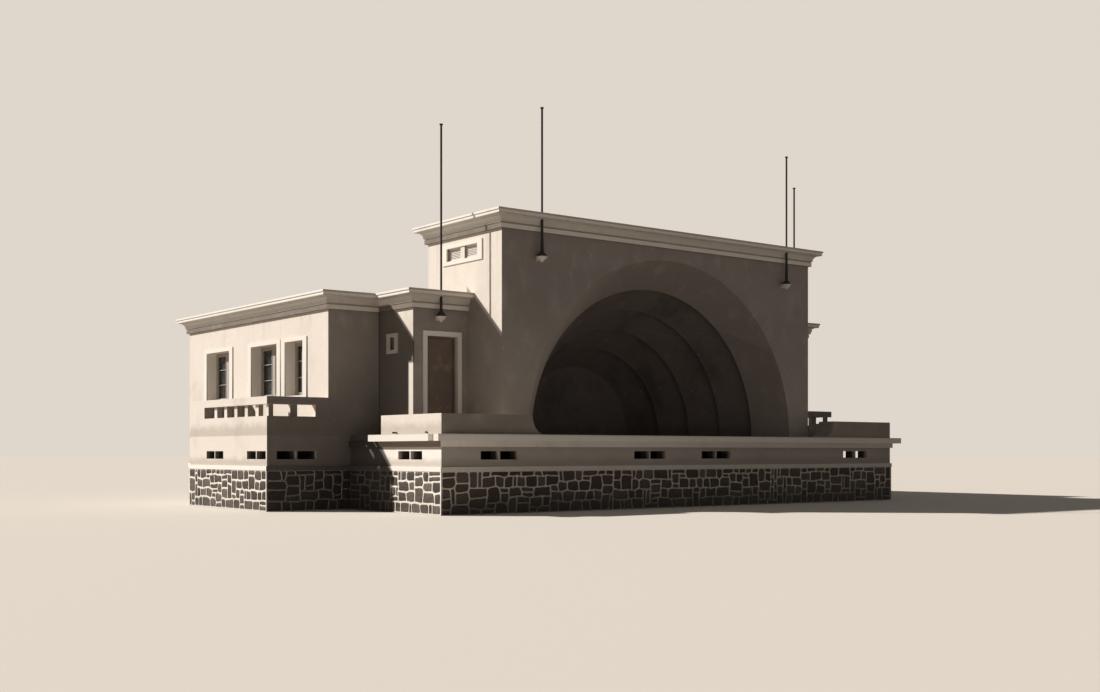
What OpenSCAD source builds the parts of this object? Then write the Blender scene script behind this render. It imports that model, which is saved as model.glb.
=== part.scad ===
/* [Base] */
// Height of the rubble stone base
stone_h = 1025; // [700:5:1200]
// Height of the string course on the stone base
string_h = 110; // [60:5:150]
// How far the string course stands out from the walls
string_out = 40; // [20:5:60]
// Height of the plinth wall over the string course
plinth_h = 475; // [400:5:700]
// Thickness of the stone base walls
base_t = 450; // [380:10:600]
// Thickness of the plinth walls
plinth_t = 350; // [260:10:370]

/* [Stage] */
// How far the podium's sides stand out beyond the door lobbies
podium_step = 865; // [620:5:1300]
// How far the podium stands in front of the shell's wall
podium_front = 1110; // [900:10:2500]
// Height of the bed band under the slab's edge
bed_h = 140; // [60:5:240]
// Overhang of the bed band beyond the podium walls
bed_over = 60; // [20:5:75]
// Depth of the slab's edge
slab_t = 165; // [120:5:240]
// Overhang of the stage slab beyond the podium walls
slab_over = 240; // [80:5:350]

/* [High block] */
// Width of the front wall beside the arch
arch_side = 850; // [700:10:1500]
// Height from the arch's crown to the top of the high cornice
arch_over = 790; // [740:10:2200]
// Depth of the high block
high_d = 3460; // [3300:10:3800]
// Thickness of the high block's walls
high_wall_t = 245; // [200:5:300]

/* [Shell] */
// Radius of the arch on the face of the front wall
arch_r = 4900; // [4700:10:5600]
// Radius of the mouth at the inner edge of the splay
mouth_r = 4170; // [4000:10:4400]
// Depth of the splay
splay_d = 860; // [700:10:1000]
// How much each ring of the shell is smaller than the one before
ring_step = 500; // [400:10:520]
// Depth of each ring of the shell
ring_d = 850; // [700:10:900]
// Thickness of the shell's rings
shell_t = 70; // [50:5:90]
// Radial width from a ring's lip to the foot of the next ring
trough_w = 170; // [140:5:220]
// Thickness of the wall that closes the shell at its back
shell_back_t = 120; // [80:5:200]

/* [Rear block] */
// How far the rear block's sides stand out beyond the door lobbies
wing_w = 1520; // [1100:10:2500]
// Depth of the rear block
rear_d = 9085; // [8900:5:12000]
// Height of the low cornice's top above the stage
low_h = 3705; // [3500:5:4200]
// Thickness of the rear block's walls
rear_wall_t = 350; // [300:10:450]
// Thickness of the roof slabs
roof_t = 165; // [120:5:220]
// Thickness of the wall that covers the floor slab's edges
skin_t = 150; // [100:10:200]

/* [Stage doors] */
// Width of the door lobby beside the high block
lobby_w = 1660; // [1600:10:1740]
// How far the lobby's front stands behind the shell's wall
lobby_y = 1550; // [1400:10:1700]
// Thickness of the lobby's walls
lobby_wall_t = 245; // [220:5:300]
// Width of the doorway
doorway_w = 930; // [800:10:950]
// Height of the doorway
doorway_h = 2555; // [2200:5:2600]
// Width of the pier between the doorway and the high block
door_pier = 320; // [280:5:400]
// Width of the plaster band round the doorway
door_band = 125; // [80:5:200]
// Thickness of the door leaf
leaf_t = 45; // [35:1:60]
// Gap round the door leaf
leaf_gap = 8; // [7:0.5:10]
// Width of the door lining's stiles
lining_w = 45; // [35:1:60]
// Width of the stop that the leaf closes on
stop_w = 25; // [15:1:30]
// Depth of the stop that the leaf closes on
stop_d = 60; // [40:1:80]
// How far the door lining stands back from the wall's face
door_setback = 90; // [40:5:100]
// Radius of the hinge barrels
barrel_r = 8; // [6:0.5:9]
// Height of each half of a hinge barrel
barrel_h = 50; // [40:1:70]
// Thickness of the hinge plates
plate_t = 4; // [3:0.5:5]
// Width of the hinge plates on the leaf
plate_w = 45; // [30:1:60]
// Distance of the outer hinges from the leaf's ends
hinge_in = 250; // [150:10:500]

/* [Windows] */
// Height of the window sills above the stage
sill_h = 1085; // [800:5:1300]
// Height of the windows
window_h = 1460; // [1000:10:1700]
// Width of the narrow side window
narrow_w = 1060; // [800:10:1100]
// Width of the other windows
wide_w = 1645; // [1200:5:1700]
// Distance of the narrow window from the rear block's front
narrow_y = 1375; // [1000:5:1450]
// Distance of the middle side window from the rear block's front
middle_y = 2925; // [2900:5:3100]
// Distance from one wide window to the next
window_pitch = 3130; // [2700:10:3200]
// Depth of the reveals in front of the window frames
reveal_d = 285; // [150:5:290]
// Depth of the window frames
sash_t = 50; // [30:1:60]
// Width of the window frames
sash_w = 60; // [40:5:80]
// Width of the post in the middle of a window
mullion_w = 150; // [60:5:200]
// Thickness of the window glass
glass_t = 8; // [5:1:12]
// Width of the plaster bands beside the windows
band_w = 210; // [120:5:215]
// Height of the plaster bands over and under the windows
band_h = 100; // [60:5:160]
// How far the plaster bands stand out
band_out = 35; // [15:5:60]

/* [Lobby windows] */
// Width of the small window in each lobby's side
slit_w = 227; // [150:1:400]
// Height of the small window
slit_h = 325; // [200:5:600]
// Height of the small window's sill above the stage
slit_up = 2225; // [1400:5:2500]
// Distance of the small window from the lobby's front
slit_in = 881; // [500:1:1000]
// Width of the plaster band beside the small window
slit_band = 165; // [60:5:180]
// Distance of the small window's glass from the wall's face
slit_depth = 150; // [60:5:180]

/* [Flank shutters] */
// Width of each shutter opening high on the flanks
shutter_w = 625; // [300:5:700]
// Height of the shutter openings
shutter_h = 340; // [200:5:400]
// Distance from the top of the high cornice down to the shutter openings' sills
shutter_drop = 1045; // [950:5:1400]
// Distance of the pair of shutters from the high block's front
shutter_y = 1775; // [1500:5:1900]
// Width of the pier between the shutters
shutter_pier = 190; // [100:5:300]
// Distance of the shutters from the wall's face
shutter_depth = 125; // [40:5:150]
// Thickness of the shutters
shutter_t = 30; // [20:1:40]

/* [Terraces] */
// Width of each side terrace
terrace_w = 1705; // [1500:5:2200]
// Length of each side terrace
terrace_l = 4840; // [4500:10:5600]
// Thickness of the terrace walls
parapet_t = 220; // [180:5:260]
// Height of the slot's lower edge above the terrace
slot_up = 475; // [300:5:700]
// Height of the slot under the rail
slot_h = 300; // [150:10:400]
// Height of the terrace rail
rail_h = 195; // [120:5:260]
// Width of the short posts in the slot
post_w = 200; // [120:5:240]
// Number of short posts in the front slot
front_posts = 2; // [1:1:3]
// Number of short posts in the side slot
side_posts = 5; // [3:1:7]
// Solid length at the end of the slot beside the rear block
front_solid = 360; // [250:10:500]
// Solid length at the back of the side slot
back_solid = 970; // [700:10:1200]

/* [Planters] */
// Height of the planters above the stage
planter_h = 485; // [350:5:600]
// Width of the planters
planter_w = 560; // [400:10:700]
// Thickness of the planter walls
planter_t = 90; // [60:5:120]
// Length of the front run of a planter
planter_front = 2665; // [2300:5:3200]
// Length of the side run of a planter
planter_side = 2775; // [2300:5:3200]
// Length of the swept end of a planter
sweep_l = 400; // [200:10:500]
// Depth of the soil below the planter's rim
soil_drop = 60; // [30:5:120]

/* [Cornice] */
// Overhang of the cornices
cornice_over = 325; // [305:5:400]
// Height of the cornices
cornice_h = 455; // [440:5:520]
// Height of the coping on the cornices
coping_h = 50; // [30:5:60]
// How far the coping stands out beyond the fascia
coping_out = 25; // [10:1:50]
// Height of the flat fascia under the coping
fascia_h = 80; // [60:5:90]
// Depth of the flat soffit behind the fascia
soffit_w = 35; // [10:5:60]
// Radius of the hollow under the soffit
cove_r = 170; // [120:5:180]
// Height of the fillet under the hollow
fillet_h = 15; // [5:1:25]
// How far the groove under the fillet stands out from the wall
groove_out = 50; // [30:5:70]
// Height of the flat band at the cornice's foot
foot_h = 120; // [80:5:135]
// How far the flat band at the foot stands out from the wall
foot_out = 75; // [70:1:110]
// Width of the kerb on the roof's edge
kerb_w = 180; // [120:10:240]
// Height of the kerb above the roof
kerb_h = 100; // [60:5:140]

/* [Flagpoles] */
// Radius of a flagpole
pole_r = 27; // [20:1:35]
// Radius of a flagpole's stem above its flared foot
stem_r = 48; // [38:1:60]
// Radius of the sleeve around a flagpole in the cornice
sleeve_r = 34; // [31:1:36]
// Clearance of the sleeves in the cornices
sleeve_gap = 3; // [1:1:10]
// Height of the sleeves above the cornices
collar_h = 20; // [10:1:60]
// Distance of the flagpoles from the walls
pole_out = 165; // [155:5:180]
// Height of the front flagpoles above the high cornice
front_pole_h = 2725; // [1800:5:4000]
// Height of the lobby flagpoles above the low cornice
lobby_pole_h = 4280; // [3200:5:5500]
// Distance of a front flagpole from the high block's corner
front_pole_in = 1150; // [500:10:1600]
// Distance of a lobby flagpole from the high block
lobby_pole_x = 920; // [700:10:1000]
// Distance from the top of the high cornice down to the tips of its poles' corbels
front_corbel_drop = 1245; // [800:5:1500]
// Distance from the top of the low cornice down to the tips of its poles' corbels
lobby_corbel_drop = 800; // [760:5:860]
// Radius of a corbel's wide end
corbel_r = 150; // [120:5:153]
// Radius of a corbel's lower tip
corbel_tip_r = 20; // [15:1:60]
// Height of the corbels
corbel_h = 140; // [90:5:160]
// Width of the arm that holds a corbel to the wall
arm_w = 120; // [80:5:160]
// Height of the arm that holds a corbel to the wall
arm_h = 95; // [60:5:110]
// Height of the flared foot of a flagpole
flare_h = 130; // [60:5:135]
// Radius of the flat cap on a flagpole
cap_r = 46; // [36:1:70]
// Height of the flat cap
cap_h = 28; // [10:1:50]

/* [Vents] */
// Width of one vent
vent_w = 530; // [300:10:560]
// Height of a vent
vent_h = 205; // [120:5:220]
// Height of a vent's lower edge above the string course
vent_up = 170; // [120:5:185]
// Width of the pier between the two vents of a pair
vent_pier = 40; // [30:5:80]
// Distance of the outer front vents from the stage's corners
vent_corner = 1665; // [1000:5:2200]
// Distance of the left middle vents from the middle
vent_left = 1735; // [600:5:3000]
// Distance of the right middle vents from the middle
vent_right = 710; // [600:5:3000]
// Distance of the stage's side vents from its front
vent_side = 1395; // [1100:5:2500]
// Distance of the terraces' front vents from their corners
vent_terrace = 815; // [750:5:950]
// Distance of the terraces' first side vents from their front
vent_first = 615; // [600:5:1200]
// Distance from the first to the second vents in a terrace's side
vent_pitch = 2570; // [1500:5:2900]

/* [Hidden] */
// Clearance where curved faces seat on each other
seat = 0.3;
// Extra length of a cut past the face that it opens
past = 10;
// Facets of the true rounds
$fn = 96;
// Straight steps in the sweep of a planter's end
sweep_steps = 15;
// Angle of each straight step in the hollow of a cornice
cove_turn = 10;

// Levels above the ground
plinth_z = stone_h + string_h;
bed_z = plinth_z + plinth_h;
deck_z = bed_z + bed_h;
floor_z = deck_z + slab_t;
vent_z = plinth_z + vent_up;
vent_top_z = vent_z + vent_h;
low_top = floor_z + low_h;
high_top = floor_z + arch_r + arch_over;
low_wall_z = low_top - kerb_h - roof_t;
high_wall_z = high_top - kerb_h - roof_t;
sill_z = floor_z + sill_h;
head_z = sill_z + window_h;
slit_z = floor_z + slit_up;
shutter_z = high_top - shutter_drop;
slot_z = floor_z + slot_up;
rail_z = slot_z + slot_h;
front_corbel_z = high_top - front_corbel_drop;
lobby_corbel_z = low_top - lobby_corbel_drop;

// Places in the plan, with the shell's wall face at y = 0
high_x = arch_r + arch_side;
lobby_x = high_x + lobby_w;
podium_x = lobby_x + podium_step;
rear_x = lobby_x + wing_w;
terrace_x = rear_x + terrace_w;
rear_y = high_d - high_wall_t;
back_y = rear_y + rear_d;
terrace_y = rear_y + terrace_l;
slit_y = lobby_y + slit_in;
plot_y = (podium_front + slab_over - back_y - cornice_over) / 2;

// The stage doorways
door_in_x = high_x + door_pier;
door_out_x = door_in_x + doorway_w;
door_head_z = floor_z + doorway_h;
lining_y = lobby_y + door_setback;
leaf_y = lining_y + stop_d + leaf_gap;
leaf_back = leaf_y + leaf_t;
rebate_w = lining_w - stop_w;
leaf_x0 = door_in_x + rebate_w + leaf_gap;
leaf_x1 = door_out_x - rebate_w - leaf_gap;
leaf_z0 = floor_z + leaf_gap;
leaf_z1 = door_head_z - rebate_w - leaf_gap;
hinge_x = leaf_x1 + leaf_gap / 2;
hinge_y = leaf_back + plate_t + barrel_r / 2;
hinge_levels = [leaf_z0 + hinge_in, (leaf_z0 + leaf_z1) / 2, leaf_z1 - hinge_in];

// Rows of windows and vents
side_windows = [[narrow_y, narrow_w], [middle_y, wide_w], [middle_y + window_pitch, wide_w]];
rear_windows = [for (i = [-2:2]) i * window_pitch];
front_vents = [vent_corner - podium_x, -vent_left, vent_right, podium_x - vent_corner];

// Places the building so that the middle of its plan is at the origin
module plot() {
    translate([0, plot_y, 0]) children();
}

// Draws a thing and its mirror image across the middle of the building
module both_sides() {
    children();
    mirror([1, 0, 0]) children();
}

// A block between two corners
module block(from, to) {
    translate(from) cube(to - from);
}

// A rectangle between two corners
module area(from, to) {
    translate(from) square(to - from);
}

// A flat plan raised between two levels
module raised(z0, z1) {
    translate([0, 0, z0]) linear_extrude(z1 - z0) children();
}

// A wall elevation, drawn in x and z, made thick from y0 to y1
module upright(y0, y1) {
    translate([0, y1, 0]) rotate([90, 0, 0]) linear_extrude(y1 - y0) children();
}

// Turns a thing that faces forwards so that it faces right from the side of a block
module facing_right(x, y, z) {
    translate([x, y, z]) rotate([0, 0, 90]) children();
}

// Turns a thing that faces forwards so that it faces backwards
module facing_back(x, y, z) {
    translate([x, y, z]) rotate([0, 0, 180]) children();
}

// Plans of the base

// Outline of the podium with a margin round its three free sides
function podium_outline(m) = [
    [-podium_x - m, rear_y], [-podium_x - m, -podium_front - m],
    [podium_x + m, -podium_front - m], [podium_x + m, rear_y]
];

// Outline of the rear block and its terraces with a margin all round
function rear_outline(m) = [
    [-terrace_x - m, rear_y - m], [-terrace_x - m, terrace_y + m],
    [-rear_x - m, terrace_y + m], [-rear_x - m, back_y + m],
    [rear_x + m, back_y + m], [rear_x + m, terrace_y + m],
    [terrace_x + m, terrace_y + m], [terrace_x + m, rear_y - m]
];

// Podium walls, t thick, with their faces standing m outside the podium
module podium_walls(t, m = 0) {
    difference() {
        polygon(podium_outline(m));
        area([-podium_x + t, -podium_front + t], [podium_x - t, rear_y + past]);
    }
}

// Walls of the rear block and the terraces, t thick
module rear_walls(t, m = 0) {
    difference() {
        polygon(rear_outline(m));
        area([-rear_x + t, rear_y + t], [rear_x - t, back_y - t]);
        both_sides() area([rear_x, rear_y + t], [terrace_x - t, terrace_y - t]);
    }
}

// A pair of vents centred at x and y in a wall that runs along x
module vent_pair(x, y) {
    for (side = [-1, 1])
        translate([x + side * (vent_w + vent_pier) / 2, y])
            square([vent_w, 2 * base_t], center = true);
}

// The same pair for a wall that runs along y
module side_vent_pair(x, y) {
    translate([x, y]) rotate(90) vent_pair(0, 0);
}

// Base

module stage_stone_base() {
    plot() color("dimgray") raised(0, stone_h) podium_walls(base_t);
}

module rear_stone_base() {
    plot() color("dimgray") raised(0, stone_h) rear_walls(base_t);
}

module string_course() {
    plot() color("gainsboro") raised(stone_h, plinth_z) {
        podium_walls(base_t, string_out);
        rear_walls(base_t, string_out);
    }
}

module stage_plinth() {
    plot() color("tan") raised(plinth_z, vent_z) podium_walls(plinth_t);
}

// Lengths of wall between the vents
module stage_vent_piers() {
    plot() color("tan") raised(vent_z, vent_top_z) difference() {
        podium_walls(plinth_t);
        for (x = front_vents) vent_pair(x, -podium_front);
        both_sides() side_vent_pair(podium_x, -podium_front + vent_side);
    }
}

module stage_lintels() {
    plot() color("tan") raised(vent_top_z, bed_z) podium_walls(plinth_t);
}

module rear_plinth() {
    plot() color("tan") {
        raised(plinth_z, vent_z) rear_walls(plinth_t);
        raised(vent_z, vent_top_z) difference() {
            rear_walls(plinth_t);
            both_sides() {
                vent_pair(terrace_x - vent_terrace, rear_y);
                for (d = [vent_first, vent_first + vent_pitch]) side_vent_pair(terrace_x, rear_y + d);
                side_vent_pair(rear_x, rear_y + middle_y + window_pitch + wide_w / 2);
            }
            for (x = rear_windows) vent_pair(x, back_y);
        }
        raised(vent_top_z, deck_z) rear_walls(plinth_t);
        raised(deck_z, floor_z) rear_walls(skin_t);
    }
}

// Floors

module stage_bed() {
    plot() color("gainsboro") raised(bed_z, deck_z) podium_walls(plinth_t, bed_over);
}

module stage_slab() {
    plot() color("gainsboro") raised(deck_z, floor_z) polygon(podium_outline(slab_over));
}

module rear_floor() {
    plot() color("gainsboro") raised(deck_z, floor_z) {
        area([-rear_x + skin_t, rear_y + skin_t], [rear_x - skin_t, back_y - skin_t]);
        both_sides() area([rear_x, rear_y + skin_t], [terrace_x - skin_t, terrace_y - skin_t]);
    }
}

// Terraces

// Plan of one terrace's parapet
module parapet_plan() {
    difference() {
        area([rear_x, rear_y], [terrace_x, terrace_y]);
        area([rear_x - past, rear_y + parapet_t], [terrace_x - parapet_t, terrace_y - parapet_t]);
    }
}

// Distance from the start of a run to post i of n posts with even gaps between them
function post_at(run, n, i) = i * (run - n * post_w) / (n + 1) + (i - 1) * post_w;

// Short posts under the rail, with the solid lengths at both ends of the slots
module slot_posts() {
    inner_x = terrace_x - parapet_t;
    front_x = rear_x + front_solid;
    side_y = rear_y + parapet_t;
    area([rear_x, rear_y], [front_x, side_y]);
    area([inner_x, terrace_y - back_solid], [terrace_x, terrace_y]);
    area([rear_x, terrace_y - parapet_t], [terrace_x, terrace_y]);
    area([inner_x, rear_y], [terrace_x, side_y]);
    for (i = [1:front_posts])
        translate([front_x + post_at(inner_x - front_x, front_posts, i), rear_y])
            square([post_w, parapet_t]);
    for (i = [1:side_posts])
        translate([inner_x, side_y + post_at(terrace_y - back_solid - side_y, side_posts, i)])
            square([parapet_t, post_w]);
}

module terrace_walls() {
    plot() color("wheat") raised(floor_z, slot_z) both_sides() parapet_plan();
}

module terrace_posts() {
    plot() color("wheat") raised(slot_z, rail_z) both_sides() slot_posts();
}

module terrace_rails() {
    plot() color("white") raised(rail_z, rail_z + rail_h) both_sides() parapet_plan();
}

// Planters

// Points of a hollow quarter curve from the planter's rim down to the stage
function sweep_points() = [
    for (i = [0:sweep_steps])
        let (a = i * 90 / sweep_steps) [sweep_l * (1 - cos(a)), planter_h * (1 - sin(a))]
];

// Plan of the left planter's two runs, inset by m from its faces
module planter_plan(m) {
    corner = [-podium_x + m, -podium_front + m];
    translate(corner) square([planter_front - 2 * m, planter_w - 2 * m]);
    translate(corner) square([planter_w - 2 * m, planter_side - 2 * m]);
}

module left_planter() {
    plot() color("white") {
        raised(floor_z, floor_z + planter_h) difference() {
            planter_plan(0);
            planter_plan(planter_t);
        }
        translate([-podium_x + planter_front, 0, floor_z])
            upright(-podium_front, -podium_front + planter_w)
                polygon(concat([[-planter_t, 0], [-planter_t, planter_h]], sweep_points()));
    }
}

module right_planter() {
    mirror([1, 0, 0]) left_planter();
}

module planter_soil() {
    plot() color("saddlebrown") raised(floor_z, floor_z + planter_h - soil_drop)
        both_sides() planter_plan(planter_t);
}

// Shell

// Radius and depth of the lip of ring k, where ring 0 is the splay
function lip_r(k) = mouth_r - k * ring_step;
function lip_y(k) = splay_d + k * ring_d;

// How fast ring k narrows towards its lip
function slope(k) = k == 0
    ? (arch_r - mouth_r) / splay_d
    : (ring_step + trough_w) / ring_d;

// Outline of ring k in radius and depth
function ring_outline(k) = [
    [lip_r(k), lip_y(k)],
    [lip_r(k) + shell_t, lip_y(k)],
    [lip_r(k - 1) + trough_w + shell_t, lip_y(k - 1)],
    [lip_r(k - 1) + trough_w + shell_t, lip_y(k - 1) - trough_w / slope(k - 1) + seat],
    [lip_r(k - 1) + trough_w, lip_y(k - 1) - (trough_w - shell_t) / slope(k - 1) + seat],
    [lip_r(k - 1) + trough_w, lip_y(k - 1)]
];

// Where ring k starts, and its outer radius at depth y
function ring_start(k) = lip_y(k - 1) - trough_w / slope(k - 1);
function ring_outer(k, y) = y < lip_y(k - 1)
    ? lip_r(k - 1) + trough_w + shell_t
    : lip_r(k) + shell_t + slope(k) * (lip_y(k) - y);

// Radius of the hole that the shell needs in the high block's rear wall
shell_hole_r = seat + max([
    for (k = [1:4])
        if (ring_start(k) < high_d && lip_y(k) > rear_y) ring_outer(k, max(rear_y, ring_start(k)))
]);

// Turns an outline of radius and depth into half a ring that stands on the stage
module half_turn(outline) {
    translate([0, 0, floor_z])
        rotate([-90, 0, 0])
            rotate([0, 0, 180])
                rotate_extrude(angle = 180) polygon(outline);
}

module front_wall() {
    plot() color("wheat") upright(0, high_wall_t) difference() {
        area([-high_x, floor_z], [high_x, high_wall_z]);
        translate([0, floor_z]) circle(arch_r + seat);
    }
}

module arch_splay() {
    plot() color("white") half_turn([
        [arch_r, 0],
        [mouth_r, lip_y(0)],
        [mouth_r + shell_t, lip_y(0)],
        [arch_r, shell_t / slope(0)]
    ]);
}

module shell_ring(k) {
    plot() color("burlywood") half_turn(ring_outline(k));
}

module shell_ring_1() {
    shell_ring(1);
}

module shell_ring_2() {
    shell_ring(2);
}

module shell_ring_3() {
    shell_ring(3);
}

module shell_ring_4() {
    shell_ring(4);
}

module shell_back() {
    plot() color("tan") upright(lip_y(4), lip_y(4) + shell_back_t) intersection() {
        translate([0, floor_z]) circle(lip_r(4) + shell_t);
        area([-high_x, floor_z], [high_x, high_top]);
    }
}

// High block

// Places a thing at each shutter opening of the right flank
module at_shutters() {
    for (side = [-1, 1])
        translate([0, shutter_y + side * (shutter_w + shutter_pier) / 2, shutter_z]) children();
}

module flank_walls() {
    plot() color("wheat") both_sides() difference() {
        block([high_x - high_wall_t, high_wall_t, floor_z], [high_x, rear_y, high_wall_z]);
        at_shutters() translate([high_x - high_wall_t - past, -shutter_w / 2, 0])
            cube([high_wall_t + 2 * past, shutter_w, shutter_h]);
    }
}

module flank_shutters() {
    plot() color("whitesmoke") both_sides() at_shutters()
        translate([high_x - shutter_depth - shutter_t, -shutter_w / 2, 0])
            cube([shutter_t, shutter_w, shutter_h]);
}

module high_rear_wall() {
    plot() color("wheat") upright(rear_y, high_d) difference() {
        area([-high_x, floor_z], [high_x, high_wall_z]);
        translate([0, floor_z]) circle(shell_hole_r);
    }
}

module high_roof() {
    plot() color("darkgray") block([-high_x, 0, high_wall_z], [high_x, high_d, high_wall_z + roof_t]);
}

// Rear block

module rear_front_walls() {
    plot() color("wheat") both_sides()
        block([lobby_x - lobby_wall_t, rear_y, floor_z], [rear_x, rear_y + rear_wall_t, low_wall_z]);
}

module side_walls() {
    plot() color("wheat") both_sides() difference() {
        block([rear_x - rear_wall_t, rear_y + rear_wall_t, floor_z],
              [rear_x, back_y - rear_wall_t, low_wall_z]);
        for (w = side_windows)
            block([rear_x - rear_wall_t - past, rear_y + w[0], sill_z],
                  [rear_x + past, rear_y + w[0] + w[1], head_z]);
    }
}

module rear_wall() {
    plot() color("wheat") upright(back_y - rear_wall_t, back_y) difference() {
        area([-rear_x, floor_z], [rear_x, low_wall_z]);
        for (x = rear_windows) area([x - wide_w / 2, sill_z], [x + wide_w / 2, head_z]);
    }
}

module low_roof() {
    plot() color("darkgray") raised(low_wall_z, low_wall_z + roof_t) difference() {
        union() {
            area([-rear_x, rear_y], [rear_x, back_y]);
            area([-lobby_x, lobby_y], [lobby_x, rear_y]);
        }
        area([-high_x, 0], [high_x, high_d]);
    }
}

// Door lobbies

module lobby_jambs() {
    plot() color("wheat") both_sides() {
        block([high_x, lobby_y, floor_z], [door_in_x, lobby_y + lobby_wall_t, door_head_z]);
        block([door_out_x, lobby_y, floor_z], [lobby_x, lobby_y + lobby_wall_t, door_head_z]);
    }
}

module lobby_lintels() {
    plot() color("wheat") both_sides()
        block([high_x, lobby_y, door_head_z], [lobby_x, lobby_y + lobby_wall_t, low_wall_z]);
}

module lobby_side_walls() {
    plot() color("wheat") both_sides() difference() {
        block([lobby_x - lobby_wall_t, lobby_y + lobby_wall_t, floor_z], [lobby_x, rear_y, low_wall_z]);
        block([lobby_x - lobby_wall_t - past, slit_y, slit_z],
              [lobby_x + past, slit_y + slit_w, slit_z + slit_h]);
    }
}

// Timber lining with the stop that the leaf closes on and the lower hinge halves
module door_lining() {
    difference() {
        block([door_in_x, lining_y, floor_z], [door_out_x, leaf_back, door_head_z]);
        block([door_in_x + lining_w, lining_y - past, floor_z - past],
              [door_out_x - lining_w, leaf_back + past, door_head_z - lining_w]);
        block([door_in_x + rebate_w, lining_y + stop_d, floor_z - past],
              [door_out_x - rebate_w, leaf_back + past, door_head_z - rebate_w]);
    }
    for (z = hinge_levels) {
        translate([hinge_x, hinge_y, z]) cylinder(r = barrel_r, h = barrel_h);
        block([hinge_x, leaf_back, z], [door_out_x, leaf_back + plate_t, z + barrel_h]);
    }
}

module door_linings() {
    plot() color("peru") both_sides() door_lining();
}

module right_stage_door() {
    plot() color("sienna") {
        block([leaf_x0, leaf_y, leaf_z0], [leaf_x1, leaf_back, leaf_z1]);
        for (z = hinge_levels) {
            translate([hinge_x, hinge_y, z + barrel_h + seat])
                cylinder(r = barrel_r, h = barrel_h);
            block([leaf_x1 - plate_w, leaf_back, z + barrel_h + seat],
                  [hinge_x, leaf_back + plate_t, z + 2 * barrel_h + seat]);
        }
    }
}

module left_stage_door() {
    mirror([1, 0, 0]) right_stage_door();
}

// Windows

// A raised plaster band round an opening w by h, lying in x and z
module band(w, h, side, edge) {
    upright(-band_out, 0) difference() {
        area([-side, -edge], [w + side, h + edge]);
        square([w, h]);
    }
}

// Plaster band over and beside a stage doorway
module door_surround() {
    upright(lobby_y - band_out, lobby_y) difference() {
        area([door_in_x - door_band, floor_z], [door_out_x + door_band, door_head_z + door_band]);
        area([door_in_x, floor_z - past], [door_out_x, door_head_z]);
    }
}

module wall_bands() {
    plot() color("white") {
        both_sides() {
            for (w = side_windows)
                facing_right(rear_x, rear_y + w[0], sill_z) band(w[1], window_h, band_w, band_h);
            facing_right(lobby_x, slit_y, slit_z) band(slit_w, slit_h, slit_band, band_h);
            facing_right(high_x, shutter_y - shutter_w - shutter_pier / 2, shutter_z)
                band(2 * shutter_w + shutter_pier, shutter_h, band_w, band_h);
            door_surround();
        }
        for (x = rear_windows)
            facing_back(x + wide_w / 2, back_y, sill_z) band(wide_w, window_h, band_w, band_h);
    }
}

// A window frame with a post in the middle
module sash(w) {
    light = (w - mullion_w) / 2 - sash_w;
    upright(0, sash_t) difference() {
        square([w, window_h]);
        for (x = [sash_w, w - sash_w - light])
            translate([x, sash_w]) square([light, window_h - 2 * sash_w]);
    }
}

module window_frames() {
    plot() color("white") {
        both_sides() for (w = side_windows)
            facing_right(rear_x - reveal_d, rear_y + w[0], sill_z) sash(w[1]);
        for (x = rear_windows)
            facing_back(x + wide_w / 2, back_y - reveal_d, sill_z) sash(wide_w);
    }
}

module side_glass() {
    glass_x = rear_x - reveal_d - sash_t;
    plot() color("lightblue") both_sides() {
        for (w = side_windows)
            block([glass_x - glass_t, rear_y + w[0], sill_z], [glass_x, rear_y + w[0] + w[1], head_z]);
        block([lobby_x - slit_depth - glass_t, slit_y, slit_z],
              [lobby_x - slit_depth, slit_y + slit_w, slit_z + slit_h]);
    }
}

module rear_glass() {
    glass_y = back_y - reveal_d - sash_t;
    plot() color("lightblue") for (x = rear_windows)
        block([x - wide_w / 2, glass_y - glass_t, sill_z], [x + wide_w / 2, glass_y, head_z]);
}

// Cornices

// Profile of a cornice from its foot to its top, in overhang and height
function cornice_profile(top) =
    let (
        foot_z = top - cornice_h,
        cove_z = top - coping_h - fascia_h,
        fascia_u = cornice_over - coping_out,
        cove_u = fascia_u - soffit_w,
        fillet_u = cove_u - cove_r,
        fillet_z = cove_z - cove_r - fillet_h
    )
    concat(
        [[0, foot_z], [foot_out, foot_z], [foot_out, foot_z + foot_h]],
        [[groove_out, foot_z + foot_h], [groove_out, fillet_z], [fillet_u, fillet_z]],
        [for (a = [90:-cove_turn:0]) [cove_u - cove_r * sin(a), cove_z - cove_r * (1 - cos(a))]],
        [[fascia_u, cove_z], [fascia_u, top - coping_h], [cornice_over, top - coping_h]],
        [[cornice_over, top]]
    );

// Cross-section of a roof from wall face a to wall face b, with the profile at both ends
function roof_section(a, b, top) =
    let (profile = cornice_profile(top), last = len(profile) - 1)
    concat(
        [for (p = profile) [b + p.x, p.y]],
        [for (i = [last:-1:0]) [a - profile[i].x, profile[i].y]]
    );

// A solid roof over a plan from p to q, with the cornice on all four sides
module corniced_roof(p, q, top) {
    intersection() {
        upright(p.y - cornice_over, q.y + cornice_over) polygon(roof_section(p.x, q.x, top));
        translate([p.x - cornice_over, 0, 0])
            rotate([90, 0, 90])
                linear_extrude(q.x - p.x + 2 * cornice_over) polygon(roof_section(p.y, q.y, top));
    }
}

module high_cornice() {
    plot() color("white") difference() {
        corniced_roof([-high_x, 0], [high_x, high_d], high_top);
        block([-high_x, 0, high_top - cornice_h - past], [high_x, high_d, high_top - kerb_h]);
        block([-high_x + kerb_w, kerb_w, high_top - cornice_h],
              [high_x - kerb_w, high_d - kerb_w, high_top + past]);
        at_front_poles() pole_hole(high_top);
    }
}

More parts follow.
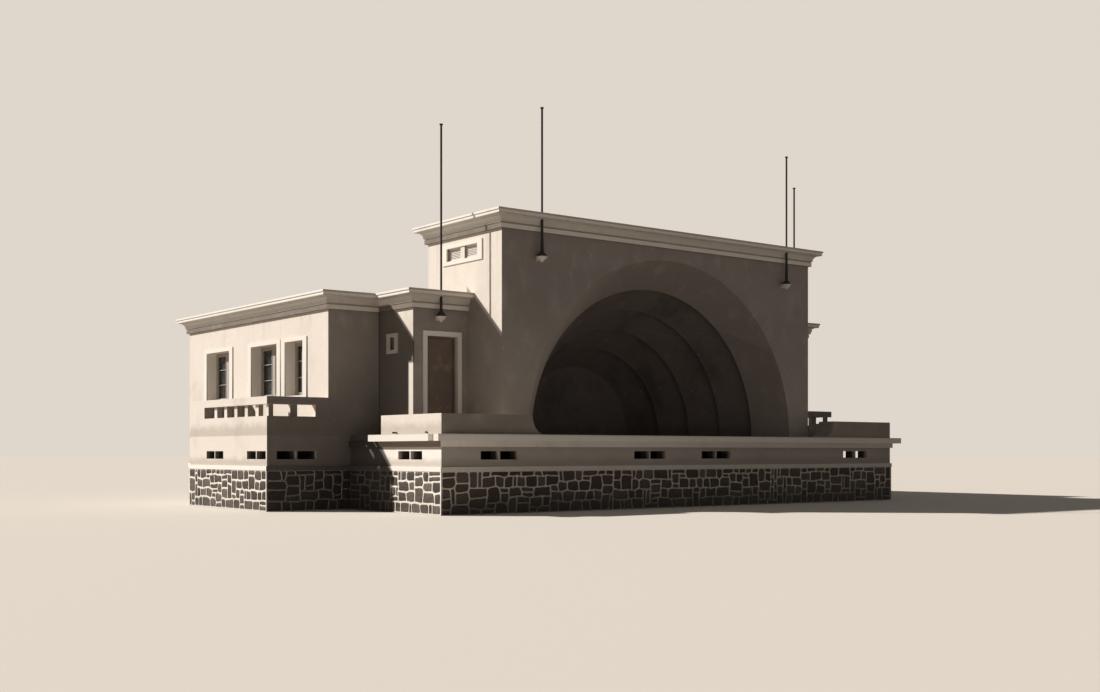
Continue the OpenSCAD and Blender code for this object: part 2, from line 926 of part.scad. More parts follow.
module low_cornice() {
    below_z = low_top - cornice_h - past;
    above_z = low_top + past;
    plot() color("white") difference() {
        union() {
            corniced_roof([-rear_x, rear_y], [rear_x, back_y], low_top);
            corniced_roof([-lobby_x, lobby_y], [lobby_x, rear_y + cornice_over], low_top);
        }
        block([-rear_x, rear_y, below_z], [rear_x, back_y, low_top - kerb_h]);
        block([-lobby_x, lobby_y, below_z], [lobby_x, rear_y + past, low_top - kerb_h]);
        block([-rear_x + kerb_w, rear_y + kerb_w, below_z],
              [rear_x - kerb_w, back_y - kerb_w, above_z]);
        block([-lobby_x + kerb_w, lobby_y + kerb_w, below_z],
              [lobby_x - kerb_w, rear_y + kerb_w + past, above_z]);
        block([-high_x, 0, below_z], [high_x, high_d, above_z]);
        at_lobby_poles() pole_hole(low_top);
    }
}

// Flagpoles

module at_front_poles() {
    both_sides() translate([high_x - front_pole_in, -pole_out, 0]) children();
}

module at_lobby_poles() {
    both_sides() translate([high_x + lobby_pole_x, lobby_y - pole_out, 0]) children();
}

module pole_hole(top) {
    translate([0, 0, top - cornice_h - past])
        cylinder(r = sleeve_r + sleeve_gap, h = cornice_h + 2 * past);
}

// Dark pole with a flared foot, a tapered stem, a sleeve through the cornice and a flat cap
module flagpole(foot_z, cornice_top, pole_top) {
    stem_z = foot_z + flare_h;
    stem_h = cornice_top - cornice_h - stem_z;
    translate([0, 0, foot_z]) cylinder(r1 = corbel_r, r2 = stem_r, h = flare_h);
    translate([0, 0, stem_z]) cylinder(r1 = stem_r, r2 = sleeve_r, h = stem_h);
    translate([0, 0, stem_z]) cylinder(r = sleeve_r, h = cornice_top + collar_h - stem_z);
    translate([0, 0, foot_z]) cylinder(r = pole_r, h = pole_top - foot_z);
    translate([0, 0, pole_top - cap_h]) cylinder(r = cap_r, h = cap_h);
}

// White cone that carries a pole, held to the wall by an arm
module corbel(z) {
    translate([0, 0, z]) cylinder(r1 = corbel_tip_r, r2 = corbel_r, h = corbel_h);
    block([-arm_w / 2, 0, z + corbel_h - arm_h], [arm_w / 2, pole_out, z + corbel_h]);
}

module pole_corbels() {
    plot() color("white") {
        at_front_poles() corbel(front_corbel_z);
        at_lobby_poles() corbel(lobby_corbel_z);
    }
}

module flagpoles() {
    plot() color("black") {
        at_front_poles() flagpole(front_corbel_z + corbel_h, high_top, high_top + front_pole_h);
        at_lobby_poles() flagpole(lobby_corbel_z + corbel_h, low_top, low_top + lobby_pole_h);
    }
}

stage_stone_base();
rear_stone_base();
string_course();
stage_plinth();
stage_vent_piers();
stage_lintels();
stage_bed();
stage_slab();
rear_plinth();
rear_floor();
terrace_walls();
terrace_posts();
terrace_rails();
left_planter();
right_planter();
planter_soil();
front_wall();
arch_splay();
shell_ring_1();
shell_ring_2();
shell_ring_3();
shell_ring_4();
shell_back();
flank_walls();
high_rear_wall();
rear_front_walls();
side_walls();
rear_wall();
lobby_jambs();
lobby_lintels();
lobby_side_walls();
high_roof();
low_roof();
high_cornice();
low_cornice();
wall_bands();
door_linings();
left_stage_door();
right_stage_door();
window_frames();
side_glass();
rear_glass();
flank_shutters();
pole_corbels();
flagpoles();
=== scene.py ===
"""Bandstand: stepped acoustic shell over a rubble stone stage, with a rear block and side terraces."""
import math
import random
from functools import reduce

import bmesh
import bpy
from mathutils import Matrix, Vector, noise


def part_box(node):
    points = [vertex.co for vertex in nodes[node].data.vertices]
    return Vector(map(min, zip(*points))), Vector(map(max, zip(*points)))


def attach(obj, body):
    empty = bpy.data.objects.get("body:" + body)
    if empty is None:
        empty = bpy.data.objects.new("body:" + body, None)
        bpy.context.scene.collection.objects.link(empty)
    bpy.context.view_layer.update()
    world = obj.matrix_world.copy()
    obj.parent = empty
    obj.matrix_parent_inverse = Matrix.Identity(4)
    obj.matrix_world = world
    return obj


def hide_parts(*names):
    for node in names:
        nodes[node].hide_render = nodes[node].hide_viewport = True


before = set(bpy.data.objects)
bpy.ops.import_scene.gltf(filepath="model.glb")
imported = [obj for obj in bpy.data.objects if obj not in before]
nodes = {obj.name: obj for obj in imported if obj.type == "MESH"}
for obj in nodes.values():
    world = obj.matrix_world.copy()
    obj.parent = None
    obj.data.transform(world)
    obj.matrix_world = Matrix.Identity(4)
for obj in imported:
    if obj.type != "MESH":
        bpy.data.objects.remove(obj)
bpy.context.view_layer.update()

# Places taken from the frame. All lengths are in metres
podium_low, podium_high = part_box("stage_stone_base")
rear_low, rear_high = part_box("rear_stone_base")
terrace_low, terrace_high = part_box("terrace_walls")
slot_low, slot_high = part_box("terrace_posts")
block_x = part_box("side_walls")[1].x
slab_low, slab_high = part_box("stage_slab")
deck_z = slab_high.z
string_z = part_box("string_course")[1].z
low_wall_top, low_cornice_top = (corner.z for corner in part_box("low_cornice"))
high_wall_top, high_cornice_top = (corner.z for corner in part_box("high_cornice"))
high_block_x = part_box("flank_walls")[1].x
lobby_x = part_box("lobby_side_walls")[1].x
lobby_front_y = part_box("lobby_jambs")[0].y
glass_low, glass_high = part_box("rear_glass")
left_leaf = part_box("left_stage_door")
right_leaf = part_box("right_stage_door")
soil_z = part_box("planter_soil")[1].z
shutter_low, shutter_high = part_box("flank_shutters")

# Camera that sees the building as the photograph does
CAMERA_PLACE = (-24.893, -32.4885, 1.500)
CAMERA_TURN = (math.radians(90), 0, math.radians(-37.6))
CAMERA_REACH = 1000
LENS = 42.75
HORIZON_SHIFT = 0.0959

# Daylight from the left and behind, with a weak soft sky
SUN_TRAVEL = (1.05, -1.0, -0.9)
SUN_STRENGTH = 5.0
SUN_SPREAD = math.radians(1.4)
SUN_COLOUR = (1.0, 0.97, 0.92)
SKY_COLOUR = (1.0, 0.975, 0.94, 1.0)
SKY_STRENGTH = 0.10
BACKGROUND_COLOUR = (0.74, 0.675, 0.605, 1.0)
FLOOR_COLOUR = (0.80, 0.735, 0.66)
FLOOR_BOUNCE = (0.48, 0.435, 0.39)
FLOOR_REACH = 400
FLOOR_Z = -0.002

# Plain colours of the finishes
WALL_CREAM = (0.715, 0.64, 0.565)
WALL_DAMP = (0.37, 0.31, 0.26)
WALL_PALE = (0.78, 0.71, 0.63)
# Painted shade for the front faces of the walls
WALL_SHADE = (0.262, 0.232, 0.213)
# Painted light for the front faces of the window reveals
REVEAL_PAINTED_LIGHT = (0.95, 0.91, 0.86)
STAGE_CREAM = (0.83, 0.76, 0.69)
# Painted shade for the front faces of the stage walls
STAGE_SHADE = (0.375, 0.333, 0.298)
# Painted shade for the planters' front faces
PLANTER_SHADE = (0.092, 0.079, 0.070)
# Painted shade in the corners beside the stage and on the lobbies' sides
PAINTED_DEEP_SHADE = (0.048, 0.040, 0.036)
SPLAY_CREAM = (0.34, 0.295, 0.258)
SPLAY_DAMP = (0.26, 0.22, 0.19)
SPLAY_PALE = (0.56, 0.50, 0.44)
# Painted shade for the splay's front faces
SPLAY_SHADE = (0.222, 0.194, 0.175)
TRIM_WHITE = (0.80, 0.75, 0.685)
TRIM_GREY = (0.42, 0.37, 0.325)
SLAB_WHITE = (0.76, 0.705, 0.635)
# Painted light for the front faces of the slab and its bed
SLAB_FRONT_LIGHT = (0.93, 0.875, 0.805)
# Painted shade for the sides of the bed under the slab
BED_SIDE_SHADE = (0.20, 0.145, 0.105)
# Painted shade on the sides of the cornices' foot bands
FOOT_PAINTED_SHADE = (0.17, 0.14, 0.112)
BAND_WHITE = (0.765, 0.71, 0.64)
# Painted light for the front faces of the opening bands
BAND_FRONT_LIGHT = (0.93, 0.885, 0.825)
SHELL_BROWN = (0.145, 0.122, 0.112)
SHELL_DARK = (0.065, 0.054, 0.048)
SHELL_CHALK = (0.30, 0.26, 0.23)
STONE_DARK = (0.045, 0.033, 0.027)
STONE_BROWN = (0.095, 0.070, 0.056)
STONE_GREY = (0.145, 0.118, 0.098)
JOINT_PALE = (0.80, 0.74, 0.66)
JOINT_DIRTY = (0.36, 0.305, 0.255)
CEMENT = (0.52, 0.47, 0.42)
CEMENT_DARK = (0.33, 0.29, 0.255)
DRAIN_GREY = (0.22, 0.19, 0.165)
EARTH = (0.14, 0.095, 0.066)
EARTH_DRY = (0.26, 0.19, 0.14)
DOOR_BROWN = (0.180, 0.138, 0.114)
DOOR_WORN = (0.32, 0.245, 0.19)
PAINT_DULL = (0.40, 0.355, 0.315)
PAINT_CHALKY = (0.56, 0.51, 0.455)
SHUTTER_GREY = (0.66, 0.61, 0.55)
SHUTTER_WORN = (0.50, 0.455, 0.40)
GLASS_DARK = (0.035, 0.040, 0.042)
POLE_BLACK = (0.045, 0.038, 0.034)
POLE_RUST = (0.16, 0.085, 0.050)
# Painted shade in vents, in spouts and at the foot of the stone front
HOLE_BLACK = (0.02, 0.017, 0.015)

# How far a face has to turn to the front before it counts as the shade side, where the finishes paint light
# and shade
FRONT_TURN = (0.3, 0.8)

# Painted shade on walls that the sun reaches only high up: how fast its lower edge climbs towards the back,
# the edge's height at the lobby's front on the high block's flanks and on the lobby's own sides, and how
# soft it is
SUN_CLIMB = 0.90
FLANK_SUN_Z = 5.86
LOBBY_SUN_Z = 4.40
SUN_EDGE = 0.12
# A strip along the lobby's front arris gets the sun too: where it fades behind the front and at its top
LOBBY_STRIP = (0.17, 0.26)
LOBBY_STRIP_Z = (3.72, 3.80)
# How far the painted shade on a wall reaches off its face, and how it fades beside it and behind the lobby's
# front
FACE_REACH = 0.02
FACE_FADE = 0.03
FRONT_FADE = 0.05

# Painted shade in the corners between the podium and the terraces: where it fades, from the terrace's front,
# from the podium's side and in height
NOOK_FRONT = (-0.20, -0.08)
NOOK_INNER = (-0.03, -0.01)
NOOK_OUTER = (0.10, 0.15)
NOOK_TOP = (2.2, 4.6)
# Where it starts behind the podium's front, how fast that edge climbs back, and how soft it is
NOOK_START = 2.110
NOOK_CLIMB = 0.95
NOOK_FADE = 0.12

# How deep inside a vent the painted shade begins and is full
VENT_SHADE_DEPTH = (0.03, 0.16)

# Lines along a cornice's coping, fascia foot, hollow and groove, partly dirt and mostly painted shade under
# its ledges: how far below its top they end and begin, how soft they are, how dark they get, and how much
# darker on the front
CORNICE_DIRT_AND_SHADE = [(0.046, -0.002, 0.012, 0.0, 0.85), (0.165, 0.120, 0.020, 0.55, 0.0),
                (0.300, 0.130, 0.020, 0.10, 0.40), (0.338, 0.296, 0.010, 0.85, 0.0)]
# The flat band at its foot, which takes painted shade on its sides, as far below its top
CORNICE_FOOT = (0.456, 0.330)
CORNICE_FOOT_SOFT = 0.006

# Side of the square bays that cement is laid in, and the width of their joints
CEMENT_BAY = 3.0
CEMENT_JOINT = 0.006

# Rubble stone
STONE_SEED = 1938
STONE_CELL = 0.128
STONE_ROWS = 8
STONE_JITTER = 0.026
# Widths and heights of stones in cells, the common ones more than once
STONE_SHAPES = [(3, 2)] * 7 + [(2, 2)] * 6 + [(4, 2)] * 3 + [(3, 1)] * 2 + [(2, 1)] * 2
STONE_SHAPES += [(2, 3), (3, 3), (1, 2), (1, 3), (4, 1)]
WIDEST_STONE = 4
PLAN_TRIES = 12
EDGE_STEP = 0.060
EDGE_SWAY = 0.006
CORNER_ROUND = 0.016
CORNER_SPREAD = (0.5, 1.4)
SHARPEST_TURN = 0.35
SIDE_SPREAD = 1.5
JOINT_PROUD = 0.027
CREST_WOBBLE = 0.002
STONE_PROUD = (-0.003, 0.004)
PEAK_RISE = 0.006
RELIEF_BACK = -0.012
# Each loop of a stone: distance in from its outline, height and roughness. The first ones are its joint
STONE_LOOPS = [(0.011, 0.0260, 0.0015), (0.018, 0.009, 0.003), (0.024, 0.012, 0.003),
               (0.037, 0.021, 0.004), (0.080, 0.024, 0.005)]
JOINT_LOOPS = 2
# The most of a stone's reach that its first loop may lie in from the outline, and each next one more
LOOP_SHARE = 0.20
LOOP_SHARE_STEP = 0.155
LEAST_TINT = 0.02
JOINT_TINT = 0.5
# What counts as being on the rim of a wall face
RIM = 1e-6
# Order of the two materials in a piece of rubble, and in a spout
STONE_TONE, JOINT_TONE = 0, 1
IRON_TONE, BORE_SHADE_TONE = 0, 1

# Windows: starts and widths on the sides, and places on the rear in steps of the pitch
SIDE_WINDOWS = [(1.375, 1.060), (2.925, 1.645), (6.055, 1.645)]
REAR_WINDOWS = (-2, -1, 0, 1, 2)
REAR_PITCH = 3.130
WIDE_WINDOW = 1.645
REVEAL = 0.285
FRAME_EDGE = 0.060
MULLION = 0.150
CASEMENT_BAR = 0.042
GLAZING_BAR = 0.022
PANES_HIGH = 3
# Back, front and chamfer of bars, from the face that they lie on
CASEMENT_DEPTHS = (-0.046, 0.012, 0.008)
GLAZING_DEPTHS = (-0.046, 0.0, 0.006)
DOOR_DEPTHS = (-0.003, 0.009, 0.005)
DRAIN_DEPTHS = (-0.02, 0.010, 0.006)

# Stage doors
DOOR_INSET = 0.023
DOOR_WIDTH = 0.828
DOOR_FOOT = 0.010
DOOR_STILE = 0.095
DOOR_RAIL = 0.085
DOOR_PANELS = 5

# Planters
PLANTER_WALL = 0.090
PLANTER_WIDTH = 0.560
PLANTER_FRONT = 2.665
PLANTER_SIDE = 2.775
SOIL_STEP = 0.038
SOIL_PROUD = 0.010
SOIL_UNDER = 0.015
LUMP_HEIGHT = 0.012
LUMP_SCALE = 6
LUMP_OCTAVES = (1.0, 2.0, 4)

# Weep spouts of the planters: places along the side with how far they stand out
SPOUTS = [(0.62, 0.050), (2.02, 0.120)]
SPOUT_RISE = 0.045
SPOUT_RADIUS = 0.021
SPOUT_BORE = 0.015
SPOUT_ROOT = 0.01
SPOUT_HOLLOW = 0.03
SPOUT_SIDES = 16

# Short posts in the slots of the terrace walls
PARAPET = 0.220
SLOT_POST = 0.200
POST_SETBACK = 0.090
FRONT_SOLID = 0.360
BACK_SOLID = 0.970
FRONT_POSTS = 1
SIDE_POSTS = 5
PLASTER_EASE = 0.012

# How far the slab's side overhangs run back from the podium's front, and the drain block there
OVERHANG_RUN = 3.010
DRAIN_START = 0.19
DRAIN_WIDTH = 0.216
DRAIN_GAP = 0.004

# Louvred shutters high on the flanks
SHUTTER_WIDTH = 0.625
SHUTTER_SETBACK = 0.055
SHUTTER_EDGE = 0.045
SHUTTER_CHAMFER = 0.005
SLAT_PITCH = 0.042
SLAT_THICK = 0.009
# How far the corners of a slat's head and foot lie behind the shutter's front
SLAT_HEAD = (0.028, 0.030)
SLAT_FOOT = (0.005, 0.003)


class Socket:
    """One output of a node. Arithmetic on it adds the nodes that work it out."""

    def __init__(self, finish, socket):
        self.finish = finish
        self.socket = socket

    def maths(self, operation, *values):
        kind = "ShaderNodeVectorMath" if self.socket.type == "VECTOR" else "ShaderNodeMath"
        return self.finish.node(kind, dict(enumerate(values)), operation=operation)

    def __add__(self, other):
        return self.maths("ADD", self, other)

    def __radd__(self, other):
        return self.maths("ADD", other, self)

    def __sub__(self, other):
        return self.maths("SUBTRACT", self, other)

    def __rsub__(self, other):
        return self.maths("SUBTRACT", other, self)

    def __mul__(self, other):
        return self.maths("MULTIPLY", self, other)

    def __rmul__(self, other):
        return self.maths("MULTIPLY", other, self)

    def __abs__(self):
        return self.maths("ABSOLUTE", self)

    def higher(self, other):
        return self.maths("MAXIMUM", self, other)

    def lower(self, other):
        return self.maths("MINIMUM", self, other)


def highest(masks):
    """The highest of some masks at every point."""
    return reduce(Socket.higher, masks)


class Finish:
    """A material that is built up from nodes, or the sky where it is given the sky's own nodes."""

    def __init__(self, name, colour, graph=None):
        self.colour = colour
        self.material = None
        if graph is None:
            self.material = bpy.data.materials.new(name)
            self.material.use_nodes = True
            graph = self.material.node_tree
        self.graph = graph
        self.graph.nodes.clear()
        self.place = self.node("ShaderNodeTexCoord", output="Object")
        self.x, self.y, self.z = (self.part(self.place, axis) for axis in "XYZ")

    def node(self, kind, sockets=None, output=0, **settings):
        """Adds a node, its settings first and then its sockets, and returns one output."""
        made = self.graph.nodes.new(kind)
        for key, value in settings.items():
            setattr(made, key, value)
        for key, value in (sockets or {}).items():
            if isinstance(value, Socket):
                self.graph.links.new(value.socket, made.inputs[key])
            else:
                made.inputs[key].default_value = value
        return Socket(self, made.outputs[output]) if made.outputs else None

    def part(self, vector, axis):
        return self.node("ShaderNodeSeparateXYZ", {0: vector}, axis)

    def facing_front(self):
        """1 on the faces that look to the front, the shade side where the finishes paint light and shade,
        and 0 on the others.
        """
        normal = self.node("ShaderNodeNewGeometry", output="Normal")
        return self.rise(0 - self.part(normal, "Y"), *FRONT_TURN)

    def noise(self, scale, detail=4.0, roughness=0.55, stretch=(1, 1, 1), shift=(0, 0, 0)):
        """Cloudy noise from 0 to 1, scale per metre, drawn out by stretch."""
        where = self.place * stretch + shift
        sockets = {"Vector": where, "Scale": scale, "Detail": detail, "Roughness": roughness}
        return self.node("ShaderNodeTexNoise", sockets, "Fac")

    def grains(self, scale):
        """Distance to the nearest of many scattered points."""
        return self.node("ShaderNodeTexVoronoi", {"Vector": self.place, "Scale": scale}, "Distance")

    def rise(self, value, low, high):
        """0 where value is at low, 1 where it is at high, smooth between them."""
        sockets = {"Value": value, "From Min": low, "From Max": high}
        return self.node("ShaderNodeMapRange", sockets, "Result", interpolation_type="SMOOTHSTEP")

    def fall(self, value, low, high):
        """1 where value is at low, 0 where it is at high, smooth between them."""
        return 1 - self.rise(value, low, high)

    def band(self, value, low, high, soft):
        """1 where value is between low and high, and 0 where it is past them by soft."""
        return self.rise(value, low - soft, low) * self.fall(value, high, high + soft)

    def coat(self, over, amount):
        """Lays a colour over what is there."""
        sockets = {0: amount}
        for key, value in ((6, self.colour), (7, over)):
            sockets[key] = value if isinstance(value, Socket) else (*value, 1.0)
        self.colour = self.node("ShaderNodeMix", sockets, 2, data_type="RGBA")

    def stain(self, over, pattern, low, high, amount):
        """Lays a colour over what is there in patches, where the pattern has risen from low to high."""
        self.coat(over, self.rise(pattern, low, high) * amount)

    def relief(self, *layers):
        """Normal of a surface with layers of bump, each as its height, depth and strength."""
        normal = None
        for height, depth, strength in layers:
            sockets = {"Height": height, "Distance": depth, "Strength": strength}
            if normal:
                sockets["Normal"] = normal
            normal = self.node("ShaderNodeBump", sockets, "Normal")
        return normal

    def done(self, rough, specular, normal=None, alpha=1.0):
        """Ends the material in one Principled shader, and returns it."""
        sockets = {"Base Color": self.colour, "Roughness": rough, "Specular IOR Level": specular}
        sockets["Alpha"] = alpha
        if normal:
            sockets["Normal"] = normal
        shader = self.node("ShaderNodeBsdfPrincipled", sockets, "BSDF")
        self.node("ShaderNodeOutputMaterial", {"Surface": shader})
        return self.material


def rain_streaks(finish, top_z, length):
    """Dark runs of dirt that hang down from a ledge at top_z."""
    runs = finish.noise(1.0, 3.0, 0.6, (5.5, 5.5, 0.32))
    fade = finish.rise(finish.z, top_z - length, top_z)
    return finish.rise(runs, 0.50, 0.74) * fade * fade * finish.fall(finish.z, top_z, top_z + 0.02)


def splashes(finish, foot_z, height):
    """Dirt that rain throws up from a ledge at foot_z."""
    ragged = finish.noise(2.6, 5.0, 0.65) * height * 1.2
    above = finish.z - foot_z
    return finish.fall(above - ragged, -0.05, height * 0.75) * finish.rise(above, -0.02, 0.0)


def vent_painted_shade(finish, plans):
    """1 deep inside the vents, where painted shade is laid, for walls whose plans are (half width, front y,
    back y).
    """
    def depth(half_width, front_y, back_y):
        return (half_width - abs(finish.x)).lower(finish.y - front_y).lower(back_y - finish.y)
    return finish.rise(highest(depth(*plan) for plan in plans), *VENT_SHADE_DEPTH)


def below_sun(finish, edge_z):
    """1 below the sun's lower edge, which climbs towards the back from edge_z at the lobby's front."""
    climb = finish.z - SUN_CLIMB * (finish.y - lobby_front_y)
    return finish.fall(climb, edge_z - SUN_EDGE, edge_z)


def flank_painted_shade(finish):
    """1 on the high block's flanks in front of the door lobbies, below the reach of the sun, where painted
    shade is laid.
    """
    edge_x = high_block_x + FACE_REACH
    flank = finish.fall(abs(finish.x), edge_x, edge_x + FACE_FADE)
    return flank * below_sun(finish, FLANK_SUN_Z) * finish.fall(finish.y - lobby_front_y, 0.0, FRONT_FADE)


def lobby_painted_shade(finish):
    """1 on the outer sides of the door lobbies, below the reach of the sun, where painted shade is laid."""
    lobby = finish.band(abs(finish.x), lobby_x - FACE_REACH, lobby_x + FACE_REACH, FACE_FADE)
    off_strip = finish.rise(finish.y - lobby_front_y, *LOBBY_STRIP)
    off_strip = off_strip.higher(finish.rise(finish.z, *LOBBY_STRIP_Z))
    return lobby * below_sun(finish, LOBBY_SUN_Z) * off_strip


def nook_painted_shade(finish):
    """1 low down in the corners between the stage and the terraces, where painted shade is laid."""
    front = finish.facing_front() * finish.rise(finish.y - rear_low.y, *NOOK_FRONT)
    off_podium = abs(finish.x) - podium_high.x
    edge_y = (finish.z - podium_high.z).higher(0.0) * NOOK_CLIMB + (podium_low.y + NOOK_START)
    beside = finish.rise(off_podium, *NOOK_INNER) * finish.fall(off_podium, *NOOK_OUTER)
    beside = beside * finish.rise(finish.y - edge_y, 0.0, NOOK_FADE)
    return front.higher(beside) * finish.fall(finish.z, *NOOK_TOP)


def plaster_finish(name, cream, shade, damp=WALL_DAMP, pale=WALL_PALE, speckled=0.75, plans=(), nook_shade_amount=0.62,
                   painted_light_left=0.0):
    """Fine float plaster with pale specks, rain streaks and dirt, and a shade colour painted on its front
    faces and on the flanks below the sun.

    Plans are those of the walls whose vents get painted shade deep inside. The corner amount says how dark
    the painted shade in the corners is, and the left amount how much painted light, in wall cream, shows
    towards the left.
    """
    finish = Finish(name, cream)
    shade_side = finish.facing_front().higher(flank_painted_shade(finish))
    clouds = finish.noise(0.55, 6.0, 0.62)
    patches = finish.noise(1.9, 5.0, 0.6, (1, 1, 0.7), (7.3, 2.1, 4.4))
    high_up = finish.rise(finish.z, 2.4, 6.2)
    # Painted shade: the front faces and the flanks below the sun take the shade colour, darker higher up and
    # with fewer pale patches
    finish.coat(shade, shade_side * (0.50 + 0.30 * clouds + 0.28 * high_up))
    finish.stain(pale, patches, 0.48, 0.80, 0.45 - 0.25 * shade_side)
    finish.stain(damp, clouds, 0.52, 0.80, 0.42)
    streaks = rain_streaks(finish, high_wall_top, 2.4).higher(rain_streaks(finish, low_wall_top, 1.5))
    finish.coat(damp, streaks * 0.22)
    dirt = splashes(finish, string_z, 0.20).higher(splashes(finish, deck_z, 0.28))
    finish.coat(damp, dirt * 0.55)
    specks = finish.fall(finish.grains(3.1), 0.03, 0.075) * finish.rise(finish.noise(1.3, 2.0), 0.50, 0.60)
    finish.coat(pale, specks * speckled)
    grain = finish.noise(70.0, 3.0, 0.7)
    finish.stain(damp, grain, 0.50, 0.85, 0.22)
    if plans:
        # Painted shade deep inside the vents
        finish.coat(HOLE_BLACK, vent_painted_shade(finish, plans) * 0.85)
    # Painted light: the plaster gets paler towards the left
    if painted_light_left:
        finish.stain(WALL_CREAM, 0 - finish.x, 1.2, 4.6, painted_light_left)
    # Painted shade in the corners beside the stage and on the lobbies' sides
    finish.coat(PAINTED_DEEP_SHADE, (nook_painted_shade(finish) * nook_shade_amount).higher(lobby_painted_shade(finish) * 0.81))
    trowel = finish.noise(3.2, 6.0, 0.6, (1, 1, 1.8), (1.7, 5.2, 0.4))
    normal = finish.relief((trowel, 0.020, 0.55), (grain, 0.003, 0.55))
    return finish.done(0.80 + 0.15 * clouds, 0.25, normal)


def cornice_dirt_and_shade(finish, top_z):
    """Ragged dark lines along a cornice, partly dirt and partly painted shade, stronger on the front."""
    shade_side = finish.facing_front()
    ragged = finish.noise(3.4, 5.0, 0.66, (1, 1, 2.2), (5.1, 0.7, 2.3))
    lines = [finish.band(finish.z, top_z - end, top_z - start, soft) * (amount + more * shade_side)
             for end, start, soft, amount, more in CORNICE_DIRT_AND_SHADE]
    return highest(lines) * (0.55 + 0.75 * ragged)


def cornice_foot_shade(finish, top_z):
    """Painted shade on the flat band at a cornice's foot, on all sides but the front, ragged like a stain.
    """
    low, high = (top_z - below for below in CORNICE_FOOT)
    band = finish.band(finish.z, low, high, CORNICE_FOOT_SOFT)
    return band * (1 - finish.facing_front()) * (0.84 + 0.25 * finish.noise(2.4, 5.0, 0.66, (1, 1, 2.2)))


def trim_finish(name, white, front_painted_light, dirt, side_painted_shade=0.0):
    """Limewash on the cornices, bands and slab, with a lighter front colour as painted light where it looks
    to the front.

    The dirt amount says how much it is greyed by dirt and by the painted shade of its cornice lines and foot
    bands, and the side amount how dark the painted shade on its other sides is.
    """
    finish = Finish(name, white)
    shade_side = finish.facing_front()
    clouds = finish.noise(0.9, 6.0, 0.62)
    wear = finish.noise(7.0, 6.0, 0.7, (1, 1, 1.6), (3.1, 0.2, 8.8))
    # Painted light: the front faces take the lighter front colour
    finish.coat(front_painted_light, shade_side)
    finish.stain(TRIM_GREY, clouds, 0.52, 0.82, 0.42 * dirt)
    finish.stain(TRIM_GREY, wear, 0.60, 0.78, 0.38 * dirt)
    tops = (low_cornice_top, high_cornice_top)
    # Dirt and painted shade in lines along the cornices
    finish.coat(TRIM_GREY, highest([cornice_dirt_and_shade(finish, top) for top in tops]) * dirt)
    # Painted shade on the sides of the foot bands
    finish.coat(FOOT_PAINTED_SHADE, highest([cornice_foot_shade(finish, top) for top in tops]) * dirt)
    runs = finish.noise(1.0, 3.0, 0.6, (7.5, 7.5, 0.5), (2, 9, 1))
    finish.stain(TRIM_GREY, runs, 0.53, 0.72, 0.16 * dirt)
    edge = finish.fall(deck_z - finish.z, 0.0, 0.060) * finish.fall(finish.z, deck_z, deck_z + 0.004)
    finish.coat(TRIM_GREY, (edge * shade_side * 0.35).higher(splashes(finish, deck_z, 0.13) * 0.45))
    # Painted shade on the faces that do not look to the front
    if side_painted_shade:
        finish.coat(BED_SIDE_SHADE, (1 - shade_side) * side_painted_shade)
    # Painted shade in the corners beside the stage and on the lobbies' sides
    finish.coat(PAINTED_DEEP_SHADE, (nook_painted_shade(finish) * 0.93).higher(lobby_painted_shade(finish) * 0.5))
    normal = finish.relief((finish.noise(4.0, 5.0, 0.6), 0.014, 0.45),
                           (finish.noise(60.0, 3.0, 0.7), 0.0025, 0.45))
    return finish.done(0.72 + 0.18 * clouds, 0.28, normal)


def shell_finish():
    """Dark painted plaster of the shell, bloomed with chalk and stained by damp at its foot."""
    finish = Finish("shell_dark_plaster", SHELL_BROWN)
    clouds = finish.noise(0.75, 6.0, 0.66, (1, 1, 0.8))
    bloom = finish.noise(1.6, 6.0, 0.68, (1, 1, 1.2), (4.0, 1.5, 9.0))
    finish.stain(SHELL_DARK, clouds, 0.46, 0.74, 0.75)
    finish.stain(SHELL_CHALK, bloom, 0.55, 0.80, 0.55)
    finish.coat(SHELL_CHALK, finish.fall(finish.grains(2.2), 0.05, 0.12) * 0.35)
    finish.coat(SHELL_DARK, splashes(finish, deck_z, 0.35) * 0.6)
    normal = finish.relief((finish.noise(2.6, 6.0, 0.6), 0.022, 0.55),
                           (finish.noise(55.0, 3.0, 0.7), 0.003, 0.5))
    return finish.done(0.70 + 0.2 * clouds, 0.3, normal)


def stone_finish():
    """Split dark brown stone, each block a little different."""
    finish = Finish("rubble_stone", STONE_DARK)
    block = finish.node("ShaderNodeAttribute", output="Fac", attribute_name="stone_tint")
    clouds = finish.noise(9.0, 6.0, 0.68)
    fine = finish.noise(48.0, 5.0, 0.72)
    shade_side = finish.facing_front()
    finish.stain(STONE_BROWN, block, 0.0, 0.75, 1.0)
    finish.stain(STONE_GREY, block, 0.70, 1.0, 0.8)
    finish.stain(STONE_DARK, clouds, 0.45, 0.75, 0.65)
    finish.stain(STONE_GREY, fine, 0.58, 0.80, 0.5)
    dust = finish.fall(finish.z, 0.02, 0.22)
    finish.coat(STONE_GREY, dust * (1 - shade_side) * 0.4)
    # Painted shade: the front faces darken towards their foot, and the corners beside the stage darken too
    foot = finish.fall(finish.z, 0.10, 0.62) * shade_side
    finish.coat(HOLE_BLACK, (foot * 0.60).higher(nook_painted_shade(finish) * 0.7))
    normal = finish.relief((clouds, 0.022, 0.8), (fine, 0.005, 0.9))
    return finish.done(0.66 + 0.28 * fine, 0.35, normal)


